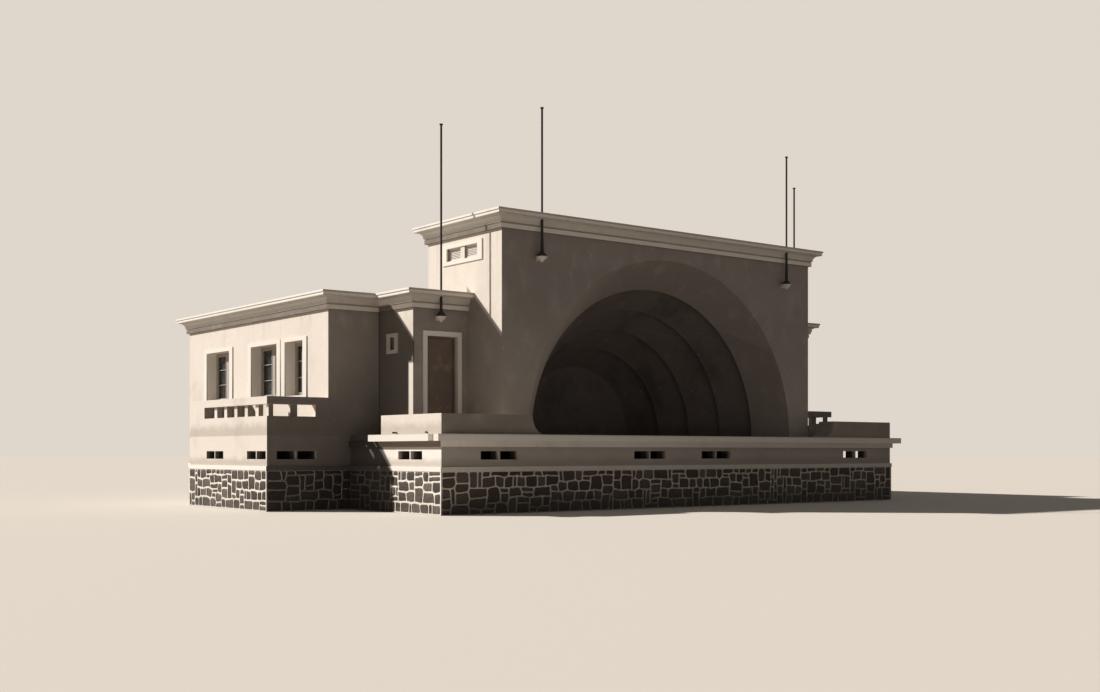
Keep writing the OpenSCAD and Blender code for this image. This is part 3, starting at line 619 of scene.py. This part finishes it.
def joint_finish():
    """Pale raised pointing between the stones."""
    finish = Finish("raised_pointing", JOINT_PALE)
    clouds = finish.noise(4.5, 5.0, 0.65)
    grain = finish.noise(85.0, 3.0, 0.7)
    shade_side = finish.facing_front()
    # Dirtier everywhere, and darker on the front faces as painted shade
    finish.stain(JOINT_DIRTY, clouds, 0.42, 0.74, 0.35 + 0.25 * shade_side)
    finish.stain(JOINT_DIRTY, grain, 0.52, 0.8, 0.30)
    damp = finish.fall(finish.z - 0.3 * clouds, -0.10, 0.36)
    finish.coat(JOINT_DIRTY, damp * 0.30 * (1 - shade_side))
    # Painted shade: the front faces darken towards their foot, and the corners beside the stage darken too
    foot = finish.fall(finish.z - 0.25 * clouds, 0.0, 0.52) * shade_side
    finish.coat(PAINTED_DEEP_SHADE, (foot * 0.80).higher(nook_painted_shade(finish) * 0.84))
    return finish.done(0.88, 0.2, finish.relief((grain, 0.004, 0.7)))


def cement_finish(name, pale, dark):
    """Trowelled cement, laid in square bays with dark joints."""
    finish = Finish(name, pale)
    clouds = finish.noise(0.7, 6.0, 0.65)
    wear = finish.noise(4.2, 6.0, 0.7)
    finish.stain(dark, clouds, 0.42, 0.76, 0.7)
    finish.stain(dark, wear, 0.56, 0.8, 0.45)
    ruts = finish.node("ShaderNodeTexBrick", {
        "Vector": finish.place, "Scale": 1.0, "Mortar Size": CEMENT_JOINT, "Mortar Smooth": 0.3,
        "Brick Width": CEMENT_BAY, "Row Height": CEMENT_BAY}, "Fac", offset=0.5)
    finish.coat(dark, ruts * 0.8)
    normal = finish.relief((finish.noise(60.0, 3.0, 0.7), 0.003, 0.6), (1 - ruts, CEMENT_JOINT, 0.8))
    return finish.done(0.72 + 0.2 * wear, 0.3, normal)


def earth_finish():
    """Crumbled earth, drier on its crumbs."""
    finish = Finish("planter_earth", EARTH)
    crumbs = finish.grains(34.0)
    finish.stain(EARTH_DRY, finish.noise(5.0, 6.0, 0.7), 0.42, 0.72, 1.0)
    finish.coat(EARTH_DRY, finish.fall(crumbs, 0.1, 0.45) * 0.5)
    return finish.done(0.95, 0.15, finish.relief((1 - crumbs, 0.012, 0.9)))


def paint_finish(name, paint, worn, rough, wear_from):
    """Paint on joinery and iron: brush marks along the grain, and worn, chalky patches."""
    finish = Finish(name, paint)
    brushed = finish.noise(1.0, 4.0, 0.6, (90.0, 90.0, 5.0))
    clouds = finish.noise(3.6, 6.0, 0.66)
    finish.stain(worn, clouds, wear_from, wear_from + 0.24, 0.7)
    finish.stain(worn, brushed, 0.50, 0.78, 0.35)
    normal = finish.relief((brushed, 0.0015, 0.7))
    return finish.done(rough + 0.2 * clouds, 0.4, normal)


def glass_finish():
    """Dusty window glass with the dark room behind it."""
    finish = Finish("dusty_glass", GLASS_DARK)
    dust = finish.noise(2.2, 5.0, 0.7, (1, 1, 0.6))
    finish.stain(PAINT_CHALKY, dust, 0.5, 0.85, 0.16)
    return finish.done(0.05 + 0.22 * dust, 0.6, alpha=0.82)


def pole_finish():
    """Black paint that rust breaks through."""
    finish = Finish("pole_black_paint", POLE_BLACK)
    rust = finish.noise(6.0, 6.0, 0.72, (1, 1, 0.5))
    finish.stain(POLE_RUST, rust, 0.58, 0.74, 0.75)
    normal = finish.relief((rust, 0.003, 0.4))
    return finish.done(0.62 + 0.30 * rust, 0.15, normal)


def spout_bore_shade_finish():
    """Painted shade inside a spout, flecked with earth."""
    finish = Finish("spout_bore_painted_shade", HOLE_BLACK)
    finish.coat(EARTH, finish.noise(30.0) * 0.3)
    return finish.done(0.95, 0.5)


def floor_finish():
    """Pale floor that throws less light back on the object than the camera sees on it."""
    finish = Finish("plain_floor", FLOOR_BOUNCE)
    finish.coat(FLOOR_COLOUR, finish.node("ShaderNodeLightPath", output="Is Camera Ray"))
    return finish.done(0.95, 0.1)


def dress(material, names):
    """Gives one material to some nodes of the frame."""
    for name in names.split():
        mesh = nodes[name].data
        mesh.materials.clear()
        mesh.materials.append(material)
        for polygon in mesh.polygons:
            polygon.material_index = 0
    return material


stage_plans = [(podium_high.x, podium_low.y, podium_high.y)]
rear_plans = [(rear_high.x, rear_low.y, terrace_high.y), (block_x, rear_low.y, rear_high.y)]
wall_plaster = dress(plaster_finish("cream_wall_plaster", WALL_CREAM, WALL_SHADE),
                     "terrace_walls terrace_posts terrace_rails front_wall flank_walls high_rear_wall "
                     "rear_front_walls rear_wall lobby_jambs lobby_lintels lobby_side_walls")
dress(plaster_finish("stage_wall_plaster", STAGE_CREAM, STAGE_SHADE, plans=stage_plans, nook_shade_amount=0.93),
      "stage_plinth stage_vent_piers stage_lintels")
dress(plaster_finish("rear_wall_plaster", WALL_CREAM, WALL_SHADE, plans=rear_plans), "rear_plinth")
# The splay, with painted light towards its left
dress(plaster_finish("splay_plaster", SPLAY_CREAM, SPLAY_SHADE, SPLAY_DAMP, SPLAY_PALE, 0.60,
                     painted_light_left=0.42), "arch_splay")
dress(plaster_finish("planter_plaster", WALL_CREAM, PLANTER_SHADE, speckled=0.55),
      "left_planter right_planter")
# Painted light: the reveals' front faces take a near white where other walls take painted shade
dress(plaster_finish("side_wall_plaster", WALL_CREAM, REVEAL_PAINTED_LIGHT, nook_shade_amount=0.0), "side_walls")
dress(trim_finish("limewashed_trim", TRIM_WHITE, TRIM_WHITE, 1.0),
      "string_course high_cornice low_cornice pole_corbels")
slab_trim = dress(trim_finish("slab_limewash", SLAB_WHITE, SLAB_FRONT_LIGHT, 0.4), "stage_slab")
dress(trim_finish("bed_limewash", TRIM_WHITE, SLAB_FRONT_LIGHT, 0.8, 0.85), "stage_bed")
dress(trim_finish("white_opening_bands", BAND_WHITE, BAND_FRONT_LIGHT, 0.35), "wall_bands")
dress(shell_finish(), "shell_ring_1 shell_ring_2 shell_ring_3 shell_ring_4 shell_back")
rubble_stone = dress(stone_finish(), "stage_stone_base rear_stone_base")
raised_pointing = joint_finish()
dress(cement_finish("roof_cement", CEMENT, CEMENT_DARK), "rear_floor high_roof low_roof")
drain_cement = cement_finish("drain_cement", CEMENT_DARK, DRAIN_GREY)
earth = dress(earth_finish(), "planter_soil")
door_wood = dress(paint_finish("door_brown_paint", DOOR_BROWN, DOOR_WORN, 0.46, 0.50),
                  "left_stage_door right_stage_door door_linings")
window_wood = dress(paint_finish("window_dull_white_paint", PAINT_DULL, PAINT_CHALKY, 0.40, 0.54),
                    "window_frames")
shutter_wood = dress(paint_finish("shutter_grey_paint", SHUTTER_GREY, SHUTTER_WORN, 0.55, 0.54),
                     "flank_shutters")
dress(glass_finish(), "side_glass rear_glass")
dress(pole_finish(), "flagpoles")
spout_iron = paint_finish("spout_dark_iron", POLE_BLACK, POLE_RUST, 0.60, 0.50)
spout_bore_shade = spout_bore_shade_finish()


def place_in_scene(name, data):
    made = bpy.data.objects.new(name, data)
    bpy.context.scene.collection.objects.link(made)
    return made


class Piece:
    """Points and faces of one piece while it is being made."""

    def __init__(self, name):
        self.name = name
        self.points = []
        self.faces = []
        self.tones = []
        self.tints = []

    def point(self, place):
        self.points.append(tuple(place))
        return len(self.points) - 1

    def face(self, corners, tone=0, tint=0.0):
        """A face with its material's place in the list, and how pale its stone is."""
        self.faces.append(tuple(corners))
        self.tones.append(tone)
        self.tints.append(tint)

    def ring(self, lower, upper, tone=0, tint=0.0):
        """Faces between two loops of points that run the same way."""
        count = len(lower)
        for i in range(count):
            j = (i + 1) % count
            self.face((lower[i], lower[j], upper[j], upper[i]), tone, tint)

    def solid(self, *loops):
        """A closed solid through loops of points that run the same way."""
        self.face(loops[0][::-1])
        for lower, upper in zip(loops, loops[1:]):
            self.ring(lower, upper)
        self.face(loops[-1])

    def finish(self, materials, slot, body="root", smooth=False, closed=True):
        mesh = bpy.data.meshes.new(self.name)
        mesh.from_pydata(self.points, [], self.faces)
        for material in materials:
            mesh.materials.append(material)
        mesh.polygons.foreach_set("material_index", self.tones)
        mesh.polygons.foreach_set("use_smooth", [smooth] * len(self.faces))
        if any(self.tints):
            attribute = mesh.attributes.new("stone_tint", "FLOAT", "FACE")
            attribute.data.foreach_set("value", self.tints)
        if closed:
            work = bmesh.new()
            work.from_mesh(mesh)
            bmesh.ops.recalc_face_normals(work, faces=work.faces)
            work.to_mesh(mesh)
            work.free()
        mesh.update()
        made = place_in_scene(self.name, mesh)
        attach(made, body)
        return made


class Side:
    """A flat face of the building: u runs to the right, v up and w outwards from it."""

    def __init__(self, corner, right, out):
        self.corner = Vector(corner)
        self.right = Vector(right)
        self.out = Vector(out)

    def at(self, u, v, w):
        return self.corner + self.right * u + Vector((0, 0, v)) + self.out * w


def rectangle(x0, y0, x1, y1):
    return [(x0, y0), (x1, y0), (x1, y1), (x0, y1)]


def chamfered_bar(piece, side, low, high, back, front, chamfer):
    """A bar from (u, v) low to high, with its front edges chamfered."""
    def loop(inset, depth):
        corners = rectangle(low[0] + inset, low[1] + inset, high[0] - inset, high[1] - inset)
        return [piece.point(side.at(u, v, depth)) for u, v in corners]
    piece.solid(loop(0, back), loop(0, front - chamfer), loop(chamfer, front))


def framing(piece, side, low, high, stile, rail, depths, gaps=1):
    """Two stiles from (u, v) low to high, and rails with even gaps. Returns the stiles' inner edges."""
    left, right = low[0] + stile, high[0] - stile
    for u in (low[0], right):
        chamfered_bar(piece, side, (u, low[1]), (u + stile, high[1]), *depths)
    for i in range(gaps + 1):
        v = low[1] + i * (high[1] - low[1] - rail) / gaps
        chamfered_bar(piece, side, (left, v), (right, v + rail), *depths)
    return left, right


def block_over(piece, plan, low_z, high_z):
    """An upright block over a plan of (x, y) corners."""
    foot, head = ([piece.point((x, y, z)) for x, y in plan] for z in (low_z, high_z))
    piece.solid(foot, head)


def stone_plan(columns, rows, dice):
    """Stones as rectangles of whole cells (column, row, width, height), laid from the foot up."""
    laid = [0] * columns
    joints = set()
    stones = []
    while min(laid) < rows:
        row = min(laid)
        start = laid.index(row)
        gap = 1
        while start + gap < columns and laid[start + gap] == row:
            gap += 1
        for _ in range(PLAN_TRIES):
            width, height = dice.choice(STONE_SHAPES)
            width = min(width, gap)
            if gap - width == 1:
                width = gap if gap <= WIDEST_STONE else width - 1
            height = min(height, rows - row)
            if height == 1:
                width = max(width, min(gap, 2))
            from_left = dice.random() < 0.5
            column = start if from_left else start + gap - width
            free_end = column + width if from_left else column
            if width == gap or (free_end, row) not in joints:
                break
        stones.append((column, row, width, height))
        laid[column:column + width] = [row + height] * width
        joints |= {(column, row + height), (column + width, row + height)}
    return stones


def inset_loop(outline, distance):
    """The outline moved inwards by distance, corner by corner."""
    moved = []
    count = len(outline)
    for i in range(count):
        before = (outline[i] - outline[i - 1]).normalized()
        after = (outline[(i + 1) % count] - outline[i]).normalized()
        inward = Vector((-before.y, before.x)) + Vector((-after.y, after.x))
        share = max(1 + before.dot(after), SHARPEST_TURN)
        moved.append(outline[i] + inward * (distance / share))
    return moved


def lay_wall(piece, side, length, height, ends, spread, dice):
    """Rubble on one wall face.

    Ends are 1 at outer corners of the building and -1 at inner ones, and spread widens the joints.
    """
    columns = round(length / STONE_CELL)
    stones = stone_plan(columns, STONE_ROWS, dice)
    stone_corners = set()
    for column, row, width, rise in stones:
        stone_corners |= set(rectangle(column, row, column + width, row + rise))
    spots = {}
    for i, j in sorted(stone_corners):
        u, v = i * length / columns, j * height / STONE_ROWS
        if 0 < i < columns:
            u += dice.uniform(-STONE_JITTER, STONE_JITTER)
        if 0 < j < STONE_ROWS:
            v += dice.uniform(-STONE_JITTER, STONE_JITTER)
        spots[i, j] = Vector((u, v))
    shared = {}

    def relief_point(flat, depth):
        u = flat.x
        if flat.x < RIM:
            u -= ends[0] * depth
        if flat.x > length - RIM:
            u += ends[1] * depth
        return piece.point(side.at(u, flat.y, depth))

    def crest(key, flat):
        if key not in shared:
            proud = JOINT_PROUD + dice.uniform(-CREST_WOBBLE, CREST_WOBBLE)
            shared[key] = (relief_point(flat, proud), flat)
        return shared[key]

    def edge_points(a, b):
        """Crest points from stone corner a up to, and not with, stone corner b."""
        found = [crest(a, spots[a])]
        first, last = min(a, b), max(a, b)
        start, end = spots[first], spots[last]
        parts = max(1, round((end - start).length / EDGE_STEP))
        across = Vector((-(end - start).y, (end - start).x)).normalized()
        on_rim = a[0] == b[0] in (0, columns) or a[1] == b[1] in (0, STONE_ROWS)
        between = []
        for k in range(1, parts):
            key = (first, last, k)
            if key not in shared:
                sway = 0 if on_rim else dice.uniform(-EDGE_SWAY, EDGE_SWAY)
                crest(key, start.lerp(end, k / parts) + across * sway)
            between.append(shared[key])
        return found + (between if a == first else between[::-1])

    for column, row, width, rise in stones:
        along = [(column + i, row) for i in range(width)]
        along += [(column + width, row + j) for j in range(rise)]
        along += [(column + width - i, row + rise) for i in range(width)]
        along += [(column, row + rise - j) for j in range(rise)]
        corners = [c for c in along if c in stone_corners]
        crests = []
        rounded = []
        for i, corner in enumerate(corners):
            before, after = corners[i - 1], corners[(i + 1) % len(corners)]
            found = edge_points(corner, after)
            turns = before[0] != after[0] and before[1] != after[1]
            cut = CORNER_ROUND * dice.uniform(*CORNER_SPREAD) if turns else 0.0
            rounded += [cut] + [0.0] * (len(found) - 1)
            crests += found
        outline = [flat for _, flat in crests]
        middle = sum(outline, Vector((0, 0))) / len(outline)
        reach = min((flat - middle).length for flat in outline)
        tint = LEAST_TINT + (1 - LEAST_TINT) * dice.random()
        proud = dice.uniform(*STONE_PROUD)
        lower = [index for index, _ in crests]
        for k, (inset, depth, rough) in enumerate(STONE_LOOPS):
            is_joint = k < JOINT_LOOPS
            inset = min(inset * spread, reach * (LOOP_SHARE + LOOP_SHARE_STEP * k))
            flats = inset_loop(outline, inset)
            flats = [f + (middle - f).normalized() * extra for f, extra in zip(flats, rounded)]
            if not is_joint:
                flats = [f + Vector((dice.uniform(-rough, rough), dice.uniform(-rough, rough)))
                         for f in flats]
            raised = [depth + (0 if is_joint else proud) + dice.uniform(-rough, rough) for _ in flats]
            upper = [piece.point(side.at(f.x, f.y, w)) for f, w in zip(flats, raised)]
            piece.ring(lower, upper, JOINT_TONE if is_joint else STONE_TONE, tint)
            lower = upper
        top = STONE_LOOPS[-1][1] + proud + dice.uniform(0, PEAK_RISE)
        peak = piece.point(side.at(middle.x, middle.y, top))
        for i in range(len(lower)):
            piece.face((lower[i], lower[(i + 1) % len(lower)], peak), STONE_TONE, tint)

    rim = sorted((flat.x, flat.y, index) for index, flat in shared.values()
                 if min(flat.x, flat.y) < RIM or flat.x > length - RIM or flat.y > height - RIM)
    foot = [r for r in rim if r[1] < RIM]
    right = sorted((r for r in rim if r[0] > length - RIM), key=lambda r: r[1])
    top = [r for r in rim if r[1] > height - RIM][::-1]
    left = sorted((r for r in rim if r[0] < RIM), key=lambda r: -r[1])
    loop = foot[:-1] + right[:-1] + top[:-1] + left[:-1]
    behind = [relief_point(Vector((u, v)), RELIEF_BACK) for u, v, _ in loop]
    piece.ring(behind, [index for _, _, index in loop], JOINT_TONE, JOINT_TINT)
    piece.face(behind[::-1], JOINT_TONE, JOINT_TINT)


def lay_rubble():
    """Rubble stone on every outer face of the base, one piece for each part of the building."""
    front_y, step_y, end_y, back_y = podium_low.y, rear_low.y, terrace_high.y, rear_high.y
    right = [(podium_high.x, front_y, "stage_side_rubble"), (podium_high.x, step_y, "terrace_rubble"),
             (rear_high.x, step_y, "terrace_rubble"), (rear_high.x, end_y, "terrace_rubble"),
             (block_x, end_y, "rear_rubble"), (block_x, back_y, "rear_rubble")]
    left = [(-x, y, name) for (x, y, _), (_, _, name) in zip(right[:0:-1], right[-2::-1])]
    plan = [(-podium_high.x, front_y, "stage_front_rubble")] + right + left
    places = [Vector(p[:2]) for p in plan]
    runs = [(places[(i + 1) % len(plan)] - places[i]) for i in range(len(plan))]
    turns = [1 if runs[i - 1].cross(runs[i]) > 0 else -1 for i in range(len(plan))]
    built = {}
    dice = random.Random(STONE_SEED)
    for i, (x, y, name) in enumerate(plan):
        piece = built.setdefault(name, Piece(name))
        run = runs[i].normalized()
        side = Side((x, y, 0), (run.x, run.y, 0), (run.y, -run.x, 0))
        ends = (turns[i], turns[(i + 1) % len(plan)])
        spread = 1.0 if abs(run.x) > 0.5 else SIDE_SPREAD
        lay_wall(piece, side, runs[i].length, podium_high.z, ends, spread, dice)
    for piece in built.values():
        piece.finish([rubble_stone, raised_pointing], "rubble_stone", closed=False)


def add_casements():
    """Opening lights with two glazing bars each, in the frames of all the big windows."""
    piece = Piece("casements")
    sill = glass_low.z
    windows = []
    for start, width in SIDE_WINDOWS:
        y = rear_low.y + start
        windows.append((Side((block_x - REVEAL, y, sill), (0, 1, 0), (1, 0, 0)), width))
        windows.append((Side((REVEAL - block_x, y + width, sill), (0, -1, 0), (-1, 0, 0)), width))
    for place in REAR_WINDOWS:
        corner = (place * REAR_PITCH + WIDE_WINDOW / 2, rear_high.y - REVEAL, sill)
        windows.append((Side(corner, (-1, 0, 0), (0, 1, 0)), WIDE_WINDOW))
    low, high = FRAME_EDGE, glass_high.z - sill - FRAME_EDGE
    for side, width in windows:
        light = (width - MULLION) / 2 - FRAME_EDGE
        for left in (FRAME_EDGE, width - FRAME_EDGE - light):
            inner = framing(piece, side, (left, low), (left + light, high), CASEMENT_BAR, CASEMENT_BAR,
                            CASEMENT_DEPTHS)
            for i in range(1, PANES_HIGH):
                v = low + (high - low) * i / PANES_HIGH - GLAZING_BAR / 2
                chamfered_bar(piece, side, (inner[0], v), (inner[1], v + GLAZING_BAR), *GLAZING_DEPTHS)
    piece.finish([window_wood], "window_wood")


def add_door_faces():
    """Stiles and rails that frame five panels on the front of each stage door."""
    for (low, high), name, body in ((left_leaf, "left_door_framing", "stage_door"),
                                    (right_leaf, "right_door_framing", "root")):
        piece = Piece(name)
        inner = min(abs(low.x), abs(high.x)) + DOOR_INSET
        start = -inner - DOOR_WIDTH if low.x < 0 else inner
        side = Side((start, low.y, low.z + DOOR_FOOT), (1, 0, 0), (0, -1, 0))
        height = high.z - low.z - DOOR_FOOT - DOOR_INSET
        framing(piece, side, (0, 0), (DOOR_WIDTH, height), DOOR_STILE, DOOR_RAIL, DOOR_DEPTHS, DOOR_PANELS)
        piece.finish([door_wood], "door_wood", body)


def add_soil():
    """Loose, lumpy earth in the L-shaped planters, the right one mirrored."""
    run_x = PLANTER_FRONT - 2 * PLANTER_WALL
    run_y = PLANTER_SIDE - 2 * PLANTER_WALL
    bed = PLANTER_WIDTH - 2 * PLANTER_WALL
    columns, rows, band = (round(run / SOIL_STEP) for run in (run_x, run_y, bed))
    cells = {(i, j): None for i in range(columns) for j in range(rows) if i < band or j < band}
    corner_x, corner_y = PLANTER_WALL - podium_high.x, PLANTER_WALL + podium_low.y
    for name, sign in (("left_planter_earth", 1), ("right_planter_earth", -1)):
        piece = Piece(name)
        points = {}

        def along(i, count, run):
            """Distance of grid line i, of count, along one arm of the planter."""
            return i * bed / band if i <= band else bed + (i - band) * (run - bed) / (count - band)

        def spot(i, j, top):
            if (i, j, top) not in points:
                x, y = corner_x + along(i, columns, run_x), corner_y + along(j, rows, run_y)
                lumps = noise.fractal(Vector((x * LUMP_SCALE, y * LUMP_SCALE, sign)), *LUMP_OCTAVES)
                z = soil_z + SOIL_PROUD + LUMP_HEIGHT * lumps if top else soil_z - SOIL_UNDER
                points[i, j, top] = piece.point((sign * x, y, z))
            return points[i, j, top]

        for i, j in cells:
            corners = rectangle(i, j, i + 1, j + 1)
            piece.face([spot(a, b, True) for a, b in corners])
            piece.face([spot(a, b, False) for a, b in corners][::-1])
            for k, neighbour in enumerate([(i, j - 1), (i + 1, j), (i, j + 1), (i - 1, j)]):
                if neighbour not in cells:
                    a, b = corners[k], corners[(k + 1) % 4]
                    piece.face((spot(*a, False), spot(*b, False), spot(*b, True), spot(*a, True)))
        piece.finish([earth], "soil", smooth=True)


def add_weep_pipes():
    """Two short iron spouts that drain each planter through its side wall."""
    piece = Piece("planter_spouts")
    for sign in (-1, 1):
        for along, reach in SPOUTS:
            centre = Vector((sign * podium_high.x, podium_low.y + along, deck_z + SPOUT_RISE))
            loops = []
            for r, out in ((SPOUT_RADIUS, -SPOUT_ROOT), (SPOUT_RADIUS, reach), (SPOUT_BORE, reach),
                           (SPOUT_BORE, reach - SPOUT_HOLLOW)):
                ring = []
                for k in range(SPOUT_SIDES):
                    angle = 2 * math.pi * k / SPOUT_SIDES
                    away = Vector((sign * out, r * math.cos(angle), r * math.sin(angle)))
                    ring.append(piece.point(centre + away))
                loops.append(ring)
            # The bore and its ends take the painted shade
            for lower, upper, tone in zip(loops, loops[1:], (IRON_TONE, IRON_TONE, BORE_SHADE_TONE)):
                piece.ring(lower, upper, tone)
            piece.face(loops[-1], BORE_SHADE_TONE)
            piece.face(loops[0][::-1], BORE_SHADE_TONE)
    piece.finish([spout_iron, spout_bore_shade], "pole_metal")


def eased(outline, cut):
    """The outline with each corner cut off by a small chamfer."""
    corners = [Vector(corner) for corner in outline]
    found = []
    for i, corner in enumerate(corners):
        for other in (corners[i - 1], corners[(i + 1) % len(corners)]):
            found.append(corner + (other - corner).normalized() * cut)
    return found


def even_starts(start, end, count):
    """Where count posts start that leave even gaps between start and end."""
    gap = (end - start - count * SLOT_POST) / (count + 1)
    return [start + gap + i * (gap + SLOT_POST) for i in range(count)]


def add_slot_posts():
    """Short posts set back under the terrace rails, and the solid ends of the slots."""
    piece = Piece("slot_posts")
    inner_x, outer_x = terrace_high.x - PARAPET, terrace_high.x
    post_x = outer_x - POST_SETBACK
    front_y, back_y = terrace_low.y, terrace_high.y
    side_y, post_y = front_y + PARAPET, front_y + POST_SETBACK
    front_end, back_end = block_x + FRONT_SOLID, back_y - BACK_SOLID
    plans = [rectangle(block_x, front_y, front_end, side_y), rectangle(inner_x, post_y, post_x, side_y)]
    plans.append([(inner_x, back_end), (outer_x, back_end), (outer_x, back_y), (block_x, back_y),
                  (block_x, back_y - PARAPET), (inner_x, back_y - PARAPET)])
    for x in even_starts(front_end, inner_x, FRONT_POSTS):
        plans.append(rectangle(x, post_y, x + SLOT_POST, side_y))
    for y in even_starts(side_y, back_end, SIDE_POSTS):
        plans.append(rectangle(inner_x, y, post_x, y + SLOT_POST))
    for sign in (-1, 1):
        for outline in plans:
            plan = [(sign * x, y) for x, y in eased(outline, PLASTER_EASE)]
            block_over(piece, plan, slot_low.z, slot_high.z)
    made = piece.finish([wall_plaster], "wall_plaster")
    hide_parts("terrace_posts")


def add_slab_top():
    """The stage's slab: its overhang stops a little behind the planters."""
    piece = Piece("slab_with_stopped_overhang")
    stop_y = podium_low.y + OVERHANG_RUN
    right = [(slab_high.x, slab_low.y), (slab_high.x, stop_y), (podium_high.x, stop_y),
             (podium_high.x, slab_high.y)]
    block_over(piece, right + [(-x, y) for x, y in reversed(right)], slab_low.z, slab_high.z)
    made = piece.finish([slab_trim], "white_plaster")
    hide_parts("stage_slab")


def add_shutters():
    """Louvred shutters in the small openings high on the flanks."""
    piece = Piece("louvred_shutters")
    height = shutter_high.z - shutter_low.z
    front = -SHUTTER_SETBACK
    depths = (shutter_high.x - high_block_x - SHUTTER_SETBACK, front, SHUTTER_CHAMFER)
    slats = round((height - 2 * SHUTTER_EDGE) / SLAT_PITCH)
    pitch = (height - 2 * SHUTTER_EDGE) / slats
    for sign in (-1, 1):
        for start in (shutter_low.y, shutter_high.y - SHUTTER_WIDTH):
            corner_y = start if sign > 0 else start + SHUTTER_WIDTH
            side = Side((sign * high_block_x, corner_y, shutter_low.z), (0, sign, 0), (sign, 0, 0))
            inner = framing(piece, side, (0, 0), (SHUTTER_WIDTH, height), SHUTTER_EDGE, SHUTTER_EDGE, depths)
            for i in range(slats):
                foot = SHUTTER_EDGE + i * pitch
                head = foot + pitch
                section = [(head, SLAT_HEAD[0]), (head - SLAT_THICK, SLAT_HEAD[1]),
                           (foot, SLAT_FOOT[0]), (foot + SLAT_THICK, SLAT_FOOT[1])]
                piece.solid(*([piece.point(side.at(u, v, front - behind)) for v, behind in section]
                              for u in inner))
    made = piece.finish([shutter_wood], "window_wood")
    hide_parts("flank_shutters")


def add_drain_block():
    """Small cement block in the slab's left edge beside the front corner."""
    piece = Piece("slab_drain_block")
    side = Side((slab_low.x, podium_low.y + DRAIN_START, slab_low.z), (0, -1, 0), (-1, 0, 0))
    top = deck_z - slab_low.z - DRAIN_GAP
    chamfered_bar(piece, side, (0, DRAIN_GAP), (DRAIN_WIDTH, top), *DRAIN_DEPTHS)
    piece.finish([drain_cement], "concrete")


def set_sun_and_sky():
    """Sun, and a sky that looks brighter than the light it gives."""
    sun = bpy.data.lights.new("sun", "SUN")
    sun.energy = SUN_STRENGTH
    sun.angle = SUN_SPREAD
    sun.color = SUN_COLOUR
    place_in_scene("sun", sun).rotation_euler = Vector(SUN_TRAVEL).to_track_quat("-Z", "Y").to_euler()

    world = bpy.data.worlds.new("pale_daylight")
    world.use_nodes = True
    bpy.context.scene.world = world
    sky = Finish("", None, world.node_tree)
    soft = sky.node("ShaderNodeBackground", {"Color": SKY_COLOUR, "Strength": SKY_STRENGTH})
    seen = sky.node("ShaderNodeBackground", {"Color": BACKGROUND_COLOUR, "Strength": 1.0})
    direct = highest([sky.node("ShaderNodeLightPath", output=f"Is {kind} Ray")
                      for kind in ("Camera", "Glossy", "Transmission")])
    both = sky.node("ShaderNodeMixShader", {0: direct, 1: soft, 2: seen})
    sky.node("ShaderNodeOutputWorld", {"Surface": both})


def lay_floor():
    """Plain pale floor that the building stands on."""
    reach = FLOOR_REACH
    mesh = bpy.data.meshes.new("floor")
    corners = [(x, y, FLOOR_Z) for x, y in rectangle(-reach, -reach, reach, reach)]
    mesh.from_pydata(corners, [], [(0, 1, 2, 3)])
    mesh.materials.append(floor_finish())
    floor = place_in_scene("floor", mesh)


def set_camera():
    """Level camera at the photograph's viewing angle."""
    camera = bpy.data.cameras.new("camera")
    camera.lens = LENS
    camera.shift_y = HORIZON_SHIFT
    camera.clip_end = CAMERA_REACH
    eye = place_in_scene("camera", camera)
    eye.location = CAMERA_PLACE
    eye.rotation_euler = CAMERA_TURN
    bpy.context.scene.camera = eye


bpy.context.scene.view_settings.view_transform = "Standard"
lay_rubble()
add_casements()
add_door_faces()
add_soil()
add_weep_pipes()
add_slot_posts()
add_slab_top()
add_shutters()
add_drain_block()
set_sun_and_sky()
lay_floor()
set_camera()

bpy.context.view_layer.update()
